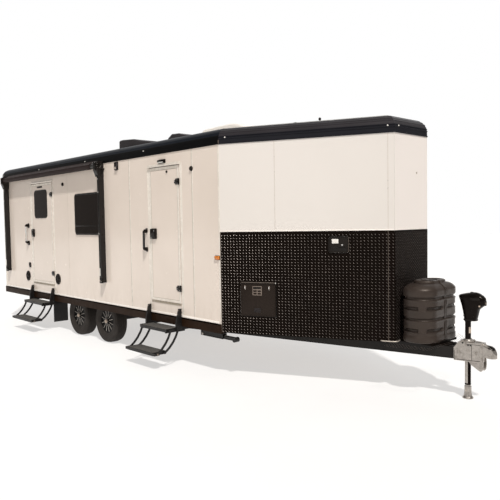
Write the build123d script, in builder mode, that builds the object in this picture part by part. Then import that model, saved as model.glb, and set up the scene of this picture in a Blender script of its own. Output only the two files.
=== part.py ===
from build123d import *
import math
import os

os.makedirs("parts", exist_ok=True)

# An enclosed snowmobile trailer with a wedge nose, standing on its wheels and
# tongue jack.  Millimetres.  X runs forward to the hitch, Y to the driver's
# side, Z up from the ground.  Stations are measured from the rear wall along X
# and from the centreline along Y; X0 and Y0 carry them to the model's origin,
# the middle of the whole object's footprint.
X0 = -4659.5
Y0 = 211.5

# body
HALF = 1219.0            # half of the body width (8 ft)
SIDE = 6614.0            # straight side, rear wall to nose corner
NOSE = 1793.0            # length of the wedge nose
FLAT = 654.0             # width of the flat front face
WALL = 45.0              # wall, skins and studs together
PROUD = 8.0              # how far the roof trim and lower rail stand out
RAIL_Z0, RAIL_Z1 = 516.0, 630.0
NOSE_Z0 = 535.0          # lower edge of the nose panels
PLATE_Z1 = 1728.0        # top of the diamond plate
TRIM_Z0, TRIM_Z1 = 2763.0, 2965.0
TRIM_R = 150.0           # quarter round of the roof trim
ROOF_Z0, ROOF_Z1 = 2925.0, 2970.0
FLOOR_Z0, FLOOR_Z1 = 760.0, 800.0
GAP = 8.0                # round each door leaf

# running gear
TYRE_R, TYRE_W = 333.0, 204.0
RIM_R = 184.0
WHEEL_Y = 1052.0         # centre plane of a tyre
AXLES_X = (3776.0, 2876.0)
ARM_DX, ARM_DZ = 140.0, 58.0
RAIL_Y0, RAIL_Y1 = 830.0, 890.0

# tongue
BEAM_Z0, BEAM_Z1 = 405.0, 532.0
BEAM_W = 60.0
BEAM_K = 0.2374          # how fast the outer face comes in along X
BEAM_X0, BEAM_X1 = 5500.0, 8975.0
JACK_X = 9050.0
BALL_X, BALL_R = 9296.0, 29.4


def at(x, y, z):
    return (x + X0, y + Y0, z)


def block(x0, x1, y0, y1, z0, z1, mode=Mode.ADD):
    with Locations(at((x0 + x1) / 2, (y0 + y1) / 2, (z0 + z1) / 2)):
        Box(x1 - x0, y1 - y0, z1 - z0, mode=mode)


def slab(points, z0, z1, mode=Mode.ADD):
    with BuildSketch(Plane.XY.offset(z0)) as outline:
        with BuildLine():
            Polyline(*[(x + X0, y + Y0) for x, y in points], close=True)
        make_face()
    extrude(outline.sketch, amount=z1 - z0, mode=mode)


def rod(plane, x, y, radius, length, mode=Mode.ADD):
    """A round bar along the plane's normal, starting on the plane."""
    with BuildSketch(plane) as outline:
        with Locations((x, y)):
            Circle(radius)
    extrude(outline.sketch, amount=length, mode=mode)


def plane_y(y):
    """Local x runs along -X, local y up, normal along +Y."""
    return Plane(origin=(X0, y + Y0, 0), x_dir=(-1, 0, 0), z_dir=(0, 1, 0))


def plane_x(x):
    """Local x runs along +Y, local y up, normal along +X."""
    return Plane(origin=(x + X0, Y0, 0), x_dir=(0, 1, 0), z_dir=(1, 0, 0))


def profile_y(points, y0, y1, mode=Mode.ADD):
    """A side-view outline (station x, z) run across from y0 to y1."""
    with BuildSketch(plane_y(y0)) as outline:
        with BuildLine():
            Polyline(*[(-x, z) for x, z in points], close=True)
        make_face()
    extrude(outline.sketch, amount=y1 - y0, mode=mode)


def profile_x(points, x0, x1, mode=Mode.ADD):
    """An end-view outline (station y, z) run along from x0 to x1."""
    with BuildSketch(plane_x(x0)) as outline:
        with BuildLine():
            Polyline(*points, close=True)
        make_face()
    extrude(outline.sketch, amount=x1 - x0, mode=mode)


def inset(points, d):
    """Move each side of a convex counter-clockwise outline inwards by d."""
    out = []
    n = len(points)
    for i in range(n):
        ax, ay = points[i - 1]
        bx, by = points[i]
        cx, cy = points[(i + 1) % n]
        l1, l2 = math.hypot(bx - ax, by - ay), math.hypot(cx - bx, cy - by)
        u, v = ((bx - ax) / l1, (by - ay) / l1), ((cx - bx) / l2, (cy - by) / l2)
        n1, n2 = (-u[1], u[0]), (-v[1], v[0])
        k = d / (1 + n1[0] * n2[0] + n1[1] * n2[1])
        out.append((bx + k * (n1[0] + n2[0]), by + k * (n1[1] + n2[1])))
    return out


# plan outline: rear right, nose corner, front right, front left, nose corner, rear left
OUT = [(0, -HALF), (SIDE, -HALF), (SIDE + NOSE, -FLAT / 2),
       (SIDE + NOSE, FLAT / 2), (SIDE, HALF), (0, HALF)]
IN = inset(OUT, WALL)
TRIM_OUT = inset(OUT, -PROUD)
TRIM_IN = inset(OUT, WALL)
ROOF_EDGE = inset(OUT, TRIM_R - PROUD + 5)


def panel(i):
    """Mitred plan of the wall on side i of the outline."""
    j = (i + 1) % 6
    return [OUT[i], OUT[j], IN[j], IN[i]]


# the right nose panel's own plane: s along it from the nose corner, z up
NOSE_A = math.atan2(HALF - FLAT / 2, NOSE)
NOSE_T = (math.cos(NOSE_A), math.sin(NOSE_A), 0)
NOSE_N = (math.sin(NOSE_A), -math.cos(NOSE_A), 0)


def nose_plane(depth):
    ox, oy = SIDE + NOSE_N[0] * depth + X0, -HALF + NOSE_N[1] * depth + Y0
    return Plane(origin=(ox, oy, 0), x_dir=NOSE_T, z_dir=NOSE_N)


def nose_point(s, z, depth):
    return (SIDE + NOSE_T[0] * s + NOSE_N[0] * depth + X0,
            -HALF + NOSE_T[1] * s + NOSE_N[1] * depth + Y0, z)


def nose_block(s0, s1, z0, z1, d0, d1, r=0.0, mode=Mode.ADD):
    with BuildSketch(nose_plane(d0)) as outline:
        with Locations(((s0 + s1) / 2, (z0 + z1) / 2)):
            if r:
                RectangleRounded(s1 - s0, z1 - z0, r)
            else:
                Rectangle(s1 - s0, z1 - z0)
    extrude(outline.sketch, amount=d1 - d0, mode=mode)


def wall_block(x0, x1, z0, z1, y0, y1, r=0.0, mode=Mode.ADD):
    with BuildSketch(plane_y(y0)) as outline:
        with Locations((-(x0 + x1) / 2, (z0 + z1) / 2)):
            if r:
                RectangleRounded(x1 - x0, z1 - z0, r)
            else:
                Rectangle(x1 - x0, z1 - z0)
    extrude(outline.sketch, amount=y1 - y0, mode=mode)


# entry doors on the curb side: leaf x0, x1, z0, z1
DOORS = {
    "front": (5168.0, 5832.0, 805.0, 2588.0),
    "rear": (1335.0, 2185.0, 805.0, 2588.0),
}
DOOR_WINDOW = (1472.0, 1990.0, 1973.0, 2473.0)
# windows: x0, x1, z0, z1
MAIN_WINDOW = (3020.0, 3790.0, 1682.0, 2340.0)
LEFT_WINDOWS = (MAIN_WINDOW, (1250.0, 1950.0, 1850.0, 2340.0))
# nose hatches: s0, s1, z0, z1
STORAGE = (252.0, 676.0, 750.0, 1133.0)
CABLE = (1299.0, 1509.0, 1492.0, 1668.0)
# ramp door opening: half width, z0, z1
RAMP_Y, RAMP_Z0, RAMP_Z1 = 1105.0, 774.0, 2706.0

# ------------------------------------------------------------------ walls
with BuildPart() as right_side_wall:
    slab(panel(0), RAIL_Z1, TRIM_Z0)
    for x0, x1, z0, z1 in DOORS.values():
        block(x0 - GAP, x1 + GAP, -HALF - 5, -HALF + WALL + 5, z0 - GAP, z1 + GAP, mode=Mode.SUBTRACT)
    x0, x1, z0, z1 = MAIN_WINDOW
    wall_block(x0 + 20, x1 - 20, z0 + 20, z1 - 20, -HALF - 5, -HALF + WALL + 5, 45, mode=Mode.SUBTRACT)
right_side_wall.part.label = "right_side_wall"
export_step(right_side_wall.part, "parts/right_side_wall.step")

with BuildPart() as left_side_wall:
    slab(panel(4), RAIL_Z1, TRIM_Z0)
    for x0, x1, z0, z1 in LEFT_WINDOWS:
        wall_block(x0 + 20, x1 - 20, z0 + 20, z1 - 20, HALF - WALL - 5, HALF + 5, 45, mode=Mode.SUBTRACT)
left_side_wall.part.label = "left_side_wall"
export_step(left_side_wall.part, "parts/left_side_wall.step")

with BuildPart() as right_nose_wall:
    slab(panel(1), NOSE_Z0, TRIM_Z0)
    s0, s1, z0, z1 = STORAGE
    nose_block(s0 - GAP, s1 + GAP, z0 - GAP, z1 + GAP, -WALL - 20, 20, mode=Mode.SUBTRACT)
    s0, s1, z0, z1 = CABLE
    nose_block(s0 - 6, s1 + 6, z0 - 6, z1 + 6, -30, 20, 22, mode=Mode.SUBTRACT)
right_nose_wall.part.label = "right_nose_wall"
export_step(right_nose_wall.part, "parts/right_nose_wall.step")

with BuildPart() as left_nose_wall:
    slab(panel(3), NOSE_Z0, TRIM_Z0)
left_nose_wall.part.label = "left_nose_wall"
export_step(left_nose_wall.part, "parts/left_nose_wall.step")

with BuildPart() as front_wall:
    slab(panel(2), NOSE_Z0, TRIM_Z0)
front_wall.part.label = "front_wall"
export_step(front_wall.part, "parts/front_wall.step")

# black diamond plate over the lower nose, one folded sheet
with BuildPart() as nose_guard_plate:
    skin = inset(OUT, -5.0)
    slab([OUT[1], skin[1], skin[2], skin[3], skin[4], OUT[4], OUT[3], OUT[2]], NOSE_Z0, PLATE_Z1)
    s0, s1, z0, z1 = STORAGE
    nose_block(s0 - GAP, s1 + GAP, z0 - GAP, z1 + GAP, -2, 20, mode=Mode.SUBTRACT)
    s0, s1, z0, z1 = CABLE
    nose_block(s0 - 6, s1 + 6, z0 - 6, z1 + 6, -2, 20, 22, mode=Mode.SUBTRACT)
nose_guard_plate.part.label = "nose_guard_plate"
export_step(nose_guard_plate.part, "parts/nose_guard_plate.step")

with BuildPart() as rear_door_frame:
    slab(panel(5), RAIL_Z1, TRIM_Z0)
    block(-5, WALL + 5, -RAMP_Y, RAMP_Y, RAMP_Z0, RAMP_Z1, mode=Mode.SUBTRACT)
rear_door_frame.part.label = "rear_door_frame"
export_step(rear_door_frame.part, "parts/rear_door_frame.step")

# ------------------------------------------------------------------ roof
with BuildPart() as roof_trim:
    slab(TRIM_OUT, TRIM_Z0, TRIM_Z1)
    fillet(roof_trim.faces().sort_by(Axis.Z)[-1].edges(), TRIM_R)
    slab(TRIM_IN, TRIM_Z0 - 5, ROOF_Z0, mode=Mode.SUBTRACT)
    slab(ROOF_EDGE, ROOF_Z0 - 5, TRIM_Z1 + 5, mode=Mode.SUBTRACT)
    # saw cuts at the mitres leave six lengths, 0.6 mm apart
    for (ax, ay), (bx, by) in zip(TRIM_OUT, ROOF_EDGE):
        length = math.hypot(bx - ax, by - ay)
        ux, uy = (ax - bx) / length, (ay - by) / length
        p0, p1 = (ax + 20 * ux, ay + 20 * uy), (bx - 20 * ux, by - 20 * uy)
        nx, ny = -uy * 0.3, ux * 0.3
        slab([(p0[0] + nx, p0[1] + ny), (p1[0] + nx, p1[1] + ny),
              (p1[0] - nx, p1[1] - ny), (p0[0] - nx, p0[1] - ny)],
             TRIM_Z0 - 5, TRIM_Z1 + 5, mode=Mode.SUBTRACT)
roof_trim.part.label = "roof_trim"
export_step(roof_trim.part, "parts/roof_trim.step")

with BuildPart() as roof_panel:
    slab(ROOF_EDGE, ROOF_Z0, ROOF_Z1)
roof_panel.part.label = "roof_panel"
export_step(roof_panel.part, "parts/roof_panel.step")

# roof units, side view (x, z above the roof) and half width
AC_REAR = [(2962, 0), (2965, 292), (2990, 312), (3070, 315), (3400, 292), (3560, 257), (3800, 217), (4110, 172),
           (4175, 60), (4178, 0)]
AC_FRONT = [(5205, 0), (5212, 172), (5285, 213), (5600, 221), (5860, 226), (5990, 206), (6110, 160), (6210, 138),
            (6330, 133), (6345, 60), (6347, 0)]
VENT = [(4205, 0), (4208, 180), (4365, 268), (4535, 260), (4653, 226), (4840, 196), (4895, 60), (4900, 0)]
for name, outline, half in (("rear_air_conditioner", AC_REAR, 330.0),
                            ("front_air_conditioner", AC_FRONT, 340.0),
                            ("roof_vent_hood", VENT, 240.0)):
    with BuildPart() as unit:
        profile_y([(x, ROOF_Z1 + z) for x, z in outline], -half, half)
        side_edges = unit.faces().filter_by(Axis.Y).edges().filter_by(
            lambda e: e.center().Z > ROOF_Z1 + 1)
        fillet(side_edges, 28.0)
    unit.part.label = name
    export_step(unit.part, "parts/" + name + ".step")

# ------------------------------------------------------------------ floor and frame
with BuildPart() as floor_deck:
    slab(IN, FLOOR_Z0, FLOOR_Z1)
floor_deck.part.label = "floor_deck"
export_step(floor_deck.part, "parts/floor_deck.step")

with BuildPart() as lower_rails:
    for s in (-1, 1):
        y0, y1 = sorted((s * (HALF + PROUD), s * (HALF - WALL)))
        block(53.6, SIDE - 12, y0, y1, RAIL_Z0, RAIL_Z1)
    block(-25, 53, -HALF - PROUD, HALF + PROUD, RAIL_Z0, RAIL_Z1)
lower_rails.part.label = "lower_rails"
export_step(lower_rails.part, "parts/lower_rails.step")

with BuildPart() as frame_rails:
    for s in (-1, 1):
        y0, y1 = sorted((s * RAIL_Y0, s * RAIL_Y1))
        block(60, 7100, y0, y1, BEAM_Z1, 700)
        for x in AXLES_X:
            block(x + ARM_DX - 70, x + ARM_DX + 70, y0, y1, TYRE_R + ARM_DZ + 40, BEAM_Z1)
frame_rails.part.label = "frame_rails"
export_step(frame_rails.part, "parts/frame_rails.step")

# cross members: station, half length
CROSS = [(100, 1165), (800, 1165), (1500, 1165), (2200, 1165), (2700, 1165), (3400, 1165),
         (4100, 1165), (4900, 1165), (5600, 1165), (6300, 1165), (6900, 1005), (7500, 705), (8150, 380)]
with BuildPart() as cross_members:
    for x, half in CROSS:
        block(x - 30, x + 30, -half, half, 700, FLOOR_Z0)
cross_members.part.label = "cross_members"
export_step(cross_members.part, "parts/cross_members.step")


def beam_y(x):
    """Outer face of the right tongue beam."""
    return -659.0 + BEAM_K * (x - 6520.0)


with BuildPart() as tongue_beams:
    for s in (-1, 1):
        pts = [(BEAM_X0, -s * beam_y(BEAM_X0)), (BEAM_X1, -s * beam_y(BEAM_X1)),
               (BEAM_X1, -s * (beam_y(BEAM_X1) + BEAM_W)), (BEAM_X0, -s * (beam_y(BEAM_X0) + BEAM_W))]
        slab(pts, BEAM_Z0, BEAM_Z1)
        for x in (6900, 7500, 8150):
            yc = -s * (beam_y(x) + BEAM_W / 2)
            block(x - 30, x + 30, yc - 22, yc + 22, BEAM_Z1, 700)
tongue_beams.part.label = "tongue_beams"
export_step(tongue_beams.part, "parts/tongue_beams.step")

with BuildPart() as tongue_deck:
    slab([(8414, beam_y(8414)), (8885, beam_y(8885)), (8885, -beam_y(8885)), (8414, -beam_y(8414))],
         BEAM_Z1, BEAM_Z1 + 5)
    block(8470, 8800, -250, 250, BEAM_Z1 + 5, 560)
tongue_deck.part.label = "tongue_deck"
export_step(tongue_deck.part, "parts/tongue_deck.step")

# gas bottle cover: two round ends joined by a flat middle, with a raised lid
with BuildPart() as propane_cover:
    for z0, z1, half, r in ((560, 1110, 351, 187), (1110, 1158, 318, 156), (1158, 1200, 205, 122)):
        with BuildSketch(Plane.XY.offset(z0)):
            with Locations((8622 + X0, Y0)):
                RectangleRounded(2 * r, 2 * half, r - 1)
        extrude(amount=z1 - z0)
    fillet(propane_cover.edges().group_by(Axis.Z)[-1], 12)
propane_cover.part.label = "propane_cover"
export_step(propane_cover.part, "parts/propane_cover.step")

# ------------------------------------------------------------------ coupler and jack
with BuildPart() as coupler:
    # side plates drawn together towards the ball, the rear of the top plate cut down
    slab([(8944, -95.2), (9215, -46), (9215, 46), (8944, 95.2)], 395, 590)
    slab([(8930, -90.4), (9209, -40), (9209, 40), (8930, 90.4)], 390, 584, mode=Mode.SUBTRACT)
    profile_y([(8920, 524), (8950, 530), (8996, 600), (8920, 600)], -120, 120, mode=Mode.SUBTRACT)
    # pads that bear on the ends of the tongue beams
    for s in (-1, 1):
        slab([(8948, s * 91), (8975, s * 86), (8975, -s * beam_y(8975)), (8948, -s * beam_y(8948))], 430, 505)
    # nose: falls away forward to the ball socket
    profile_y([(9180, 590), (9180, 470), (9296, 450), (9296, 540), (9250, 556), (9222, 570)], -44, 44)
    rod(Plane.XY.offset(450), BALL_X + X0, Y0, 48, 91)
    profile_y([(9304, 548), (9350, 474), (9400, 474), (9400, 548)], -60, 60, mode=Mode.SUBTRACT)
    rod(Plane.XY.offset(450), BALL_X + X0, Y0, BALL_R, 34, mode=Mode.SUBTRACT)
    with Locations(at(BALL_X, 0, 484)):
        Sphere(BALL_R, mode=Mode.SUBTRACT)
    rod(Plane.XY.offset(580), JACK_X + X0, Y0, 28.7, 20, mode=Mode.SUBTRACT)
    for y0, y1 in ((-40.0, -30.0), (30.0, 40.0)):
        profile_y([(9072, 470), (9221, 470), (9227, 373), (9221, 322), (9204, 304), (9188, 307), (9100, 358),
                   (9072, 392)], y0, y1)
    block(9150, 9200, -40, 40, 330, 380)
coupler.part.label = "coupler"
export_step(coupler.part, "parts/coupler.step")

HEAD = [(9014, 812), (9008, 880), (8972, 1010), (8958, 1060), (9065, 1090), (9130, 1097),
        (9205, 1050), (9232, 992), (9200, 955), (9168, 925), (9142, 812)]
with BuildPart() as jack_post:
    rod(Plane.XY.offset(140), JACK_X + X0, Y0, 28.5, 672)
    rod(Plane.XY.offset(130), JACK_X + X0, Y0, 25.08, 672, mode=Mode.SUBTRACT)
    profile_y(HEAD, -62, 62)
    fillet(jack_post.edges().filter_by(lambda e: abs(abs(e.center().Y - Y0) - 62) < 0.1), 24)
jack_post.part.label = "jack_post"
export_step(jack_post.part, "parts/jack_post.step")

with BuildPart() as jack_leg:
    rod(Plane.XY, JACK_X + X0, Y0, 52, 12)
    rod(Plane.XY.offset(12), JACK_X + X0, Y0, 25, 620)
jack_leg.part.label = "jack_leg"
export_step(jack_leg.part, "parts/jack_leg.step")

# ------------------------------------------------------------------ axles and wheels
with BuildPart() as axles:
    for x in AXLES_X:
        cz = TYRE_R + ARM_DZ
        block(x + ARM_DX - 40, x + ARM_DX + 40, -895, 895, cz - 40, cz + 40)
        for s in (-1, 1):
            y0, y1 = sorted((s * 895.0, s * 925.0))
            profile_y([(x - 36, TYRE_R - 36), (x + 20, TYRE_R - 40), (x + ARM_DX + 45, cz - 40),
                       (x + ARM_DX + 45, cz + 42), (x + 60, cz + 20), (x - 36, TYRE_R + 36)], y0, y1)
            y0, y1 = sorted((s * 925.0, s * 1056.0))
            rod(plane_y(y0), -x, TYRE_R, 30, y1 - y0)
axles.part.label = "axles"
export_step(axles.part, "parts/axles.step")

# tyre section: radius, offset from the centre plane
TYRE = [(RIM_R, 72), (200, 84), (262, 102), (300, 99), (324, 88), (TYRE_R, 74)]
WHEELS = {"front_right": (AXLES_X[0], -1), "front_left": (AXLES_X[0], 1),
          "rear_right": (AXLES_X[1], -1), "rear_left": (AXLES_X[1], 1)}
SPOKES = 12
for name, (x, s) in WHEELS.items():
    axle = Plane(origin=at(x, s * WHEEL_Y, TYRE_R), x_dir=(1, 0, 0), z_dir=(0, s, 0))
    # local z points out of the wheel's outer face
    with BuildPart() as tyre:
        ring = Plane(origin=axle.origin, x_dir=(1, 0, 0), z_dir=(0, 0, 1))
        with BuildSketch(ring):
            with BuildLine():
                Polyline(*([(r, a) for r, a in TYRE] + [(r, -a) for r, a in reversed(TYRE)]), close=True)
            make_face()
        revolve(axis=Axis(axle.origin, (0, 1, 0)))
    tyre.part.label = name + "_tyre"
    export_step(tyre.part, "parts/" + name + "_tyre.step")

    with BuildPart() as rim:
        with BuildSketch(axle.offset(-71)):
            Circle(RIM_R - 0.3)
            Circle(RIM_R - 14, mode=Mode.SUBTRACT)
        extrude(amount=142)
        with BuildSketch(axle.offset(40)):
            Circle(RIM_R - 6)
        extrude(amount=22)
        with BuildSketch(axle.offset(30)):
            with PolarLocations(0.001, SPOKES, start_angle=15):
                Polygon((76, -8), (160, -29), (160, 29), (76, 8), align=None)
        extrude(amount=50, mode=Mode.SUBTRACT)
        with BuildSketch(axle.offset(-62)):
            Circle(128)
        extrude(amount=90)
        with BuildSketch(axle.offset(28)):
            Circle(60)
        extrude(amount=58)
        with BuildSketch(axle.offset(-62)):
            Circle(30.05)
        extrude(amount=68, mode=Mode.SUBTRACT)
    rim.part.label = name + "_rim"
    export_step(rim.part, "parts/" + name + "_rim.step")

with BuildPart() as mud_flaps:
    for s in (-1, 1):
        y0, y1 = sorted((s * 1160.0, s * 891.0))
        block(1983, 1993, y0, y1, 115, 560)
        block(1993, 2033, y0, y1, 520, 560)
mud_flaps.part.label = "mud_flaps"
export_step(mud_flaps.part, "parts/mud_flaps.step")

# ------------------------------------------------------------------ stabilisers
STAB_X, STAB_Y, STAB_Z, STAB_L = 6165.0, 1119.0, 455.0, 575.0
with BuildPart() as stabiliser_housings:
    for s in (-1, 1):
        yc = s * STAB_Y
        block(6130, 6550, yc - 32, yc + 32, 490, 512)
        for t in (-1, 1):
            y0, y1 = sorted((yc + t * 26, yc + t * 32))
            block(6130, 6550, y0, y1, 432, 490)
        block(6275, 6325, yc - 20, yc + 20, 512, 700)
        rod(plane_y(yc - 32), -STAB_X, STAB_Z, 8, 64)
stabiliser_housings.part.label = "stabiliser_housings"
export_step(stabiliser_housings.part, "parts/stabiliser_housings.step")

for name, s in (("right", -1), ("left", 1)):
    yc = s * STAB_Y
    with BuildPart() as leg:
        block(STAB_X - 16, STAB_X + STAB_L, yc - 20, yc + 20, STAB_Z - 20, STAB_Z + 20)
        rod(plane_y(yc - 34), -(STAB_X + STAB_L + 10), STAB_Z - 4, 30, 68)
        rod(plane_y(yc - 34), -STAB_X, STAB_Z, 8.08, 68, mode=Mode.SUBTRACT)
    leg.part.label = name + "_stabiliser_leg"
    export_step(leg.part, "parts/" + name + "_stabiliser_leg.step")

# ------------------------------------------------------------------ doors
for name, (x0, x1, z0, z1) in DOORS.items():
    with BuildPart() as door:
        block(x0, x1, -HALF - 3, -HALF + WALL, z0, z1)
        if name == "rear":
            a, b, c, d = DOOR_WINDOW
            wall_block(a + 12, b - 12, c + 12, d - 12, -HALF - 10, -HALF + WALL + 10, 60, mode=Mode.SUBTRACT)
    door.part.label = name + "_entry_door"
    export_step(door.part, "parts/" + name + "_entry_door.step")

    # hinge knuckles with their straps, and the latch
    with BuildPart() as hardware:
        for z in (1000, 2378):
            block(x1 - 70, x1 + 6, -HALF - 9, -HALF - 3, z - 38, z + 38)
            rod(Plane.XY.offset(z - 38), x1 + 12 + X0, -HALF - 14 + Y0, 9, 76)
        a, b = (26, 150) if name == "front" else (18, 108)
        wall_block(x0 + a, x0 + b, 1640, 1772, -HALF - 30, -HALF - 3, 12)
    hardware.part.label = name + "_door_hardware"
    export_step(hardware.part, "parts/" + name + "_door_hardware.step")

with BuildPart() as rear_door_window:
    a, b, c, d = DOOR_WINDOW
    wall_block(a, b, c, d, -HALF - 9, -HALF - 3, 70)
    wall_block(a + 13, b - 13, c + 13, d - 13, -HALF - 3, -HALF + 30, 59)
rear_door_window.part.label = "rear_door_window"
export_step(rear_door_window.part, "parts/rear_door_window.step")

with BuildPart() as right_window:
    a, b, c, d = MAIN_WINDOW
    wall_block(a, b, c, d, -HALF - 10, -HALF, 60)
    wall_block(a + 21, b - 21, c + 21, d - 21, -HALF, -HALF + 36, 44)
right_window.part.label = "right_window"
export_step(right_window.part, "parts/right_window.step")

with BuildPart() as left_windows:
    for a, b, c, d in LEFT_WINDOWS:
        wall_block(a, b, c, d, HALF, HALF + 8, 60)
        wall_block(a + 21, b - 21, c + 21, d - 21, HALF - 36, HALF, 44)
left_windows.part.label = "left_windows"
export_step(left_windows.part, "parts/left_windows.step")

with BuildPart() as ramp_door:
    block(0, WALL, -RAMP_Y + GAP, RAMP_Y - GAP, RAMP_Z0 + GAP, RAMP_Z1 - GAP)
    for y in (-900, -450, 0, 450, 900):
        block(-9, 0, y - 60, y + 60, RAMP_Z0 + GAP, RAMP_Z0 + GAP + 60)
        rod(plane_y(y - 60), 12, RAMP_Z0 + 2, 9, 120)
ramp_door.part.label = "ramp_door"
export_step(ramp_door.part, "parts/ramp_door.step")

with BuildPart() as storage_hatch:
    s0, s1, z0, z1 = STORAGE
    nose_block(s0, s1, z0, z1, -17, 10)
    rod(Plane(origin=nose_point(s0, z1 + 6, 15), z_dir=NOSE_T), 0, 0, 9, s1 - s0)
storage_hatch.part.label = "storage_hatch"
export_step(storage_hatch.part, "parts/storage_hatch.step")

with BuildPart() as cable_hatch:
    s0, s1, z0, z1 = CABLE
    nose_block(s0, s1, z0, z1, -8, 12, 20)
    rod(Plane.XY.offset(z0 + 22), nose_point(s0 - 4, 0, 12)[0], nose_point(s0 - 4, 0, 12)[1], 5, z1 - z0 - 44)
cable_hatch.part.label = "cable_hatch"
export_step(cable_hatch.part, "parts/cable_hatch.step")

# ------------------------------------------------------------------ awning, handles
ROLL_Y, ROLL_Z, ROLL_R = -1305.0, 2738.0, 43.0
AWN_X0, AWN_X1 = 259.0, 3927.0           # centres of the two arms
ARM_HALF, AWN_D, AWN_Z0, AWN_Z1 = 30.0, 80.0, 958.0, 2562.0
# arm head, end view (y, z)
AWN_HEAD = [(-1219, 2562), (-1312, 2562), (-1342, 2640), (-1352, 2700), (-1352, 2762),
            (-1335, 2790), (-1300, 2799), (-1233, 2799), (-1233, 2757), (-1219, 2757)]
with BuildPart() as awning_roller:
    rod(plane_x(AWN_X0 + 55), ROLL_Y, ROLL_Z, ROLL_R, AWN_X1 - AWN_X0 - 110)
awning_roller.part.label = "awning_roller"
export_step(awning_roller.part, "parts/awning_roller.step")

with BuildPart() as awning_arms:
    for x, rear, front in ((AWN_X0, ARM_HALF + 4, 54), (AWN_X1, 54, ARM_HALF + 4)):
        block(x - ARM_HALF, x + ARM_HALF, -HALF - AWN_D, -HALF, AWN_Z0, AWN_Z1)
        profile_x(AWN_HEAD, x - rear, x + front)
awning_arms.part.label = "awning_arms"
export_step(awning_arms.part, "parts/awning_arms.step")

# assist handles: station, z0, z1
HANDLES = [(5076.0, 1488.0, 1752.0), (1160.0, 1520.0, 1856.0)]
with BuildPart() as grab_handles:
    for x, z0, z1 in HANDLES:
        for z in (z0 + 20, z1 - 20):
            block(x - 14, x + 14, -HALF - 46, -HALF, z - 14, z + 14)
        rod(Plane.XY.offset(z0), x + X0, -HALF - 52 + Y0, 13, z1 - z0)
grab_handles.part.label = "grab_handles"
export_step(grab_handles.part, "parts/grab_handles.step")

# ------------------------------------------------------------------ entry steps
# set, outer x0 and x1 of the hangers
STEPS = {"front": (5123.0, 5837.0), "rear": (1310.0, 2180.0)}
TREAD_T, TREAD_D = 38.0, 210.0
UP_Z, UP_Y = 490.0, -1435.0      # top and outboard edge of the upper tread
LOW_Z, LOW_Y = 222.0, -1650.0
ARM_W, ARM_T = 30.0, 8.0
DY, DZ = LOW_Y - UP_Y, LOW_Z - UP_Z
# pivots of the curved arms on the upper tread; the outer pair hangs from the
# side plates, the inner pair from the tread itself, each on its own plane
PIVOTS = {"outer": (UP_Y + 50.0, UP_Z - 19.0), "inner": (UP_Y + 180.0, UP_Z - 19.0)}
PLANES = {"outer": (35.0, 43.0), "inner": (48.0, 56.0)}
PIN_R = 6.0


def across(x0, x1, a, b):
    """The same stretch measured in from either end of a step."""
    return [(x0 + a, x0 + b), (x1 - b, x1 - a)]


def rod_x(x0, x1, y, z, radius, mode=Mode.ADD):
    rod(plane_x(x0), y, z, radius, x1 - x0, mode=mode)


with BuildPart() as upper_steps:
    for x0, x1 in STEPS.values():
        for a, b in across(x0, x1, 0, 30):
            profile_x([(-HALF - 9, 742), (-HALF - 42, 742), (-HALF - 92, 560), (-HALF - 92, 452),
                       (-HALF + 40, 452), (-HALF + 40, 512), (-HALF - 9, 512)], a, b)
            block(a, b, -HALF + 40, -840, 470, 512)
            block(a, b, -885, -840, 512, 532)
        for a, b in across(x0, x1, 22, 30):
            block(a, b, UP_Y + 22, -HALF - 80, UP_Z - 36, UP_Z - 2)
        block(x0 + 30, x1 - 30, UP_Y + TREAD_D, UP_Y + TREAD_D + 30, 455, 485)
        block(x0 + 61, x1 - 61, UP_Y, UP_Y + TREAD_D, UP_Z - TREAD_T, UP_Z)
        y, z = PIVOTS["outer"]
        for a, b in across(x0, x1, 30, 43):
            rod_x(a, b, y, z, PIN_R)
        y, z = PIVOTS["inner"]
        for a, b in across(x0, x1, 48, 61):
            rod_x(a, b, y, z, PIN_R)
upper_steps.part.label = "upper_steps"
export_step(upper_steps.part, "parts/upper_steps.step")


def link(py, pz):
    """A curved flat bar from an upper pivot down to the lower tread."""
    c, w = 34.0, ARM_W / 2
    length = math.hypot(DY, DZ)
    uy, uz = DY / length, DZ / length
    ny, nz = uz, -uy
    pts = []
    for t, b in ((-0.05, 0), (0.25, 0.8), (0.5, 1.0), (0.75, 0.8), (1.05, 0)):
        pts.append((py + uy * t * length - ny * b * c, pz + uz * t * length - nz * b * c))
    left = [(y - ny * w, z - nz * w) for y, z in pts]
    right = [(y + ny * w, z + nz * w) for y, z in pts]
    return left + right[::-1]


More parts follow.
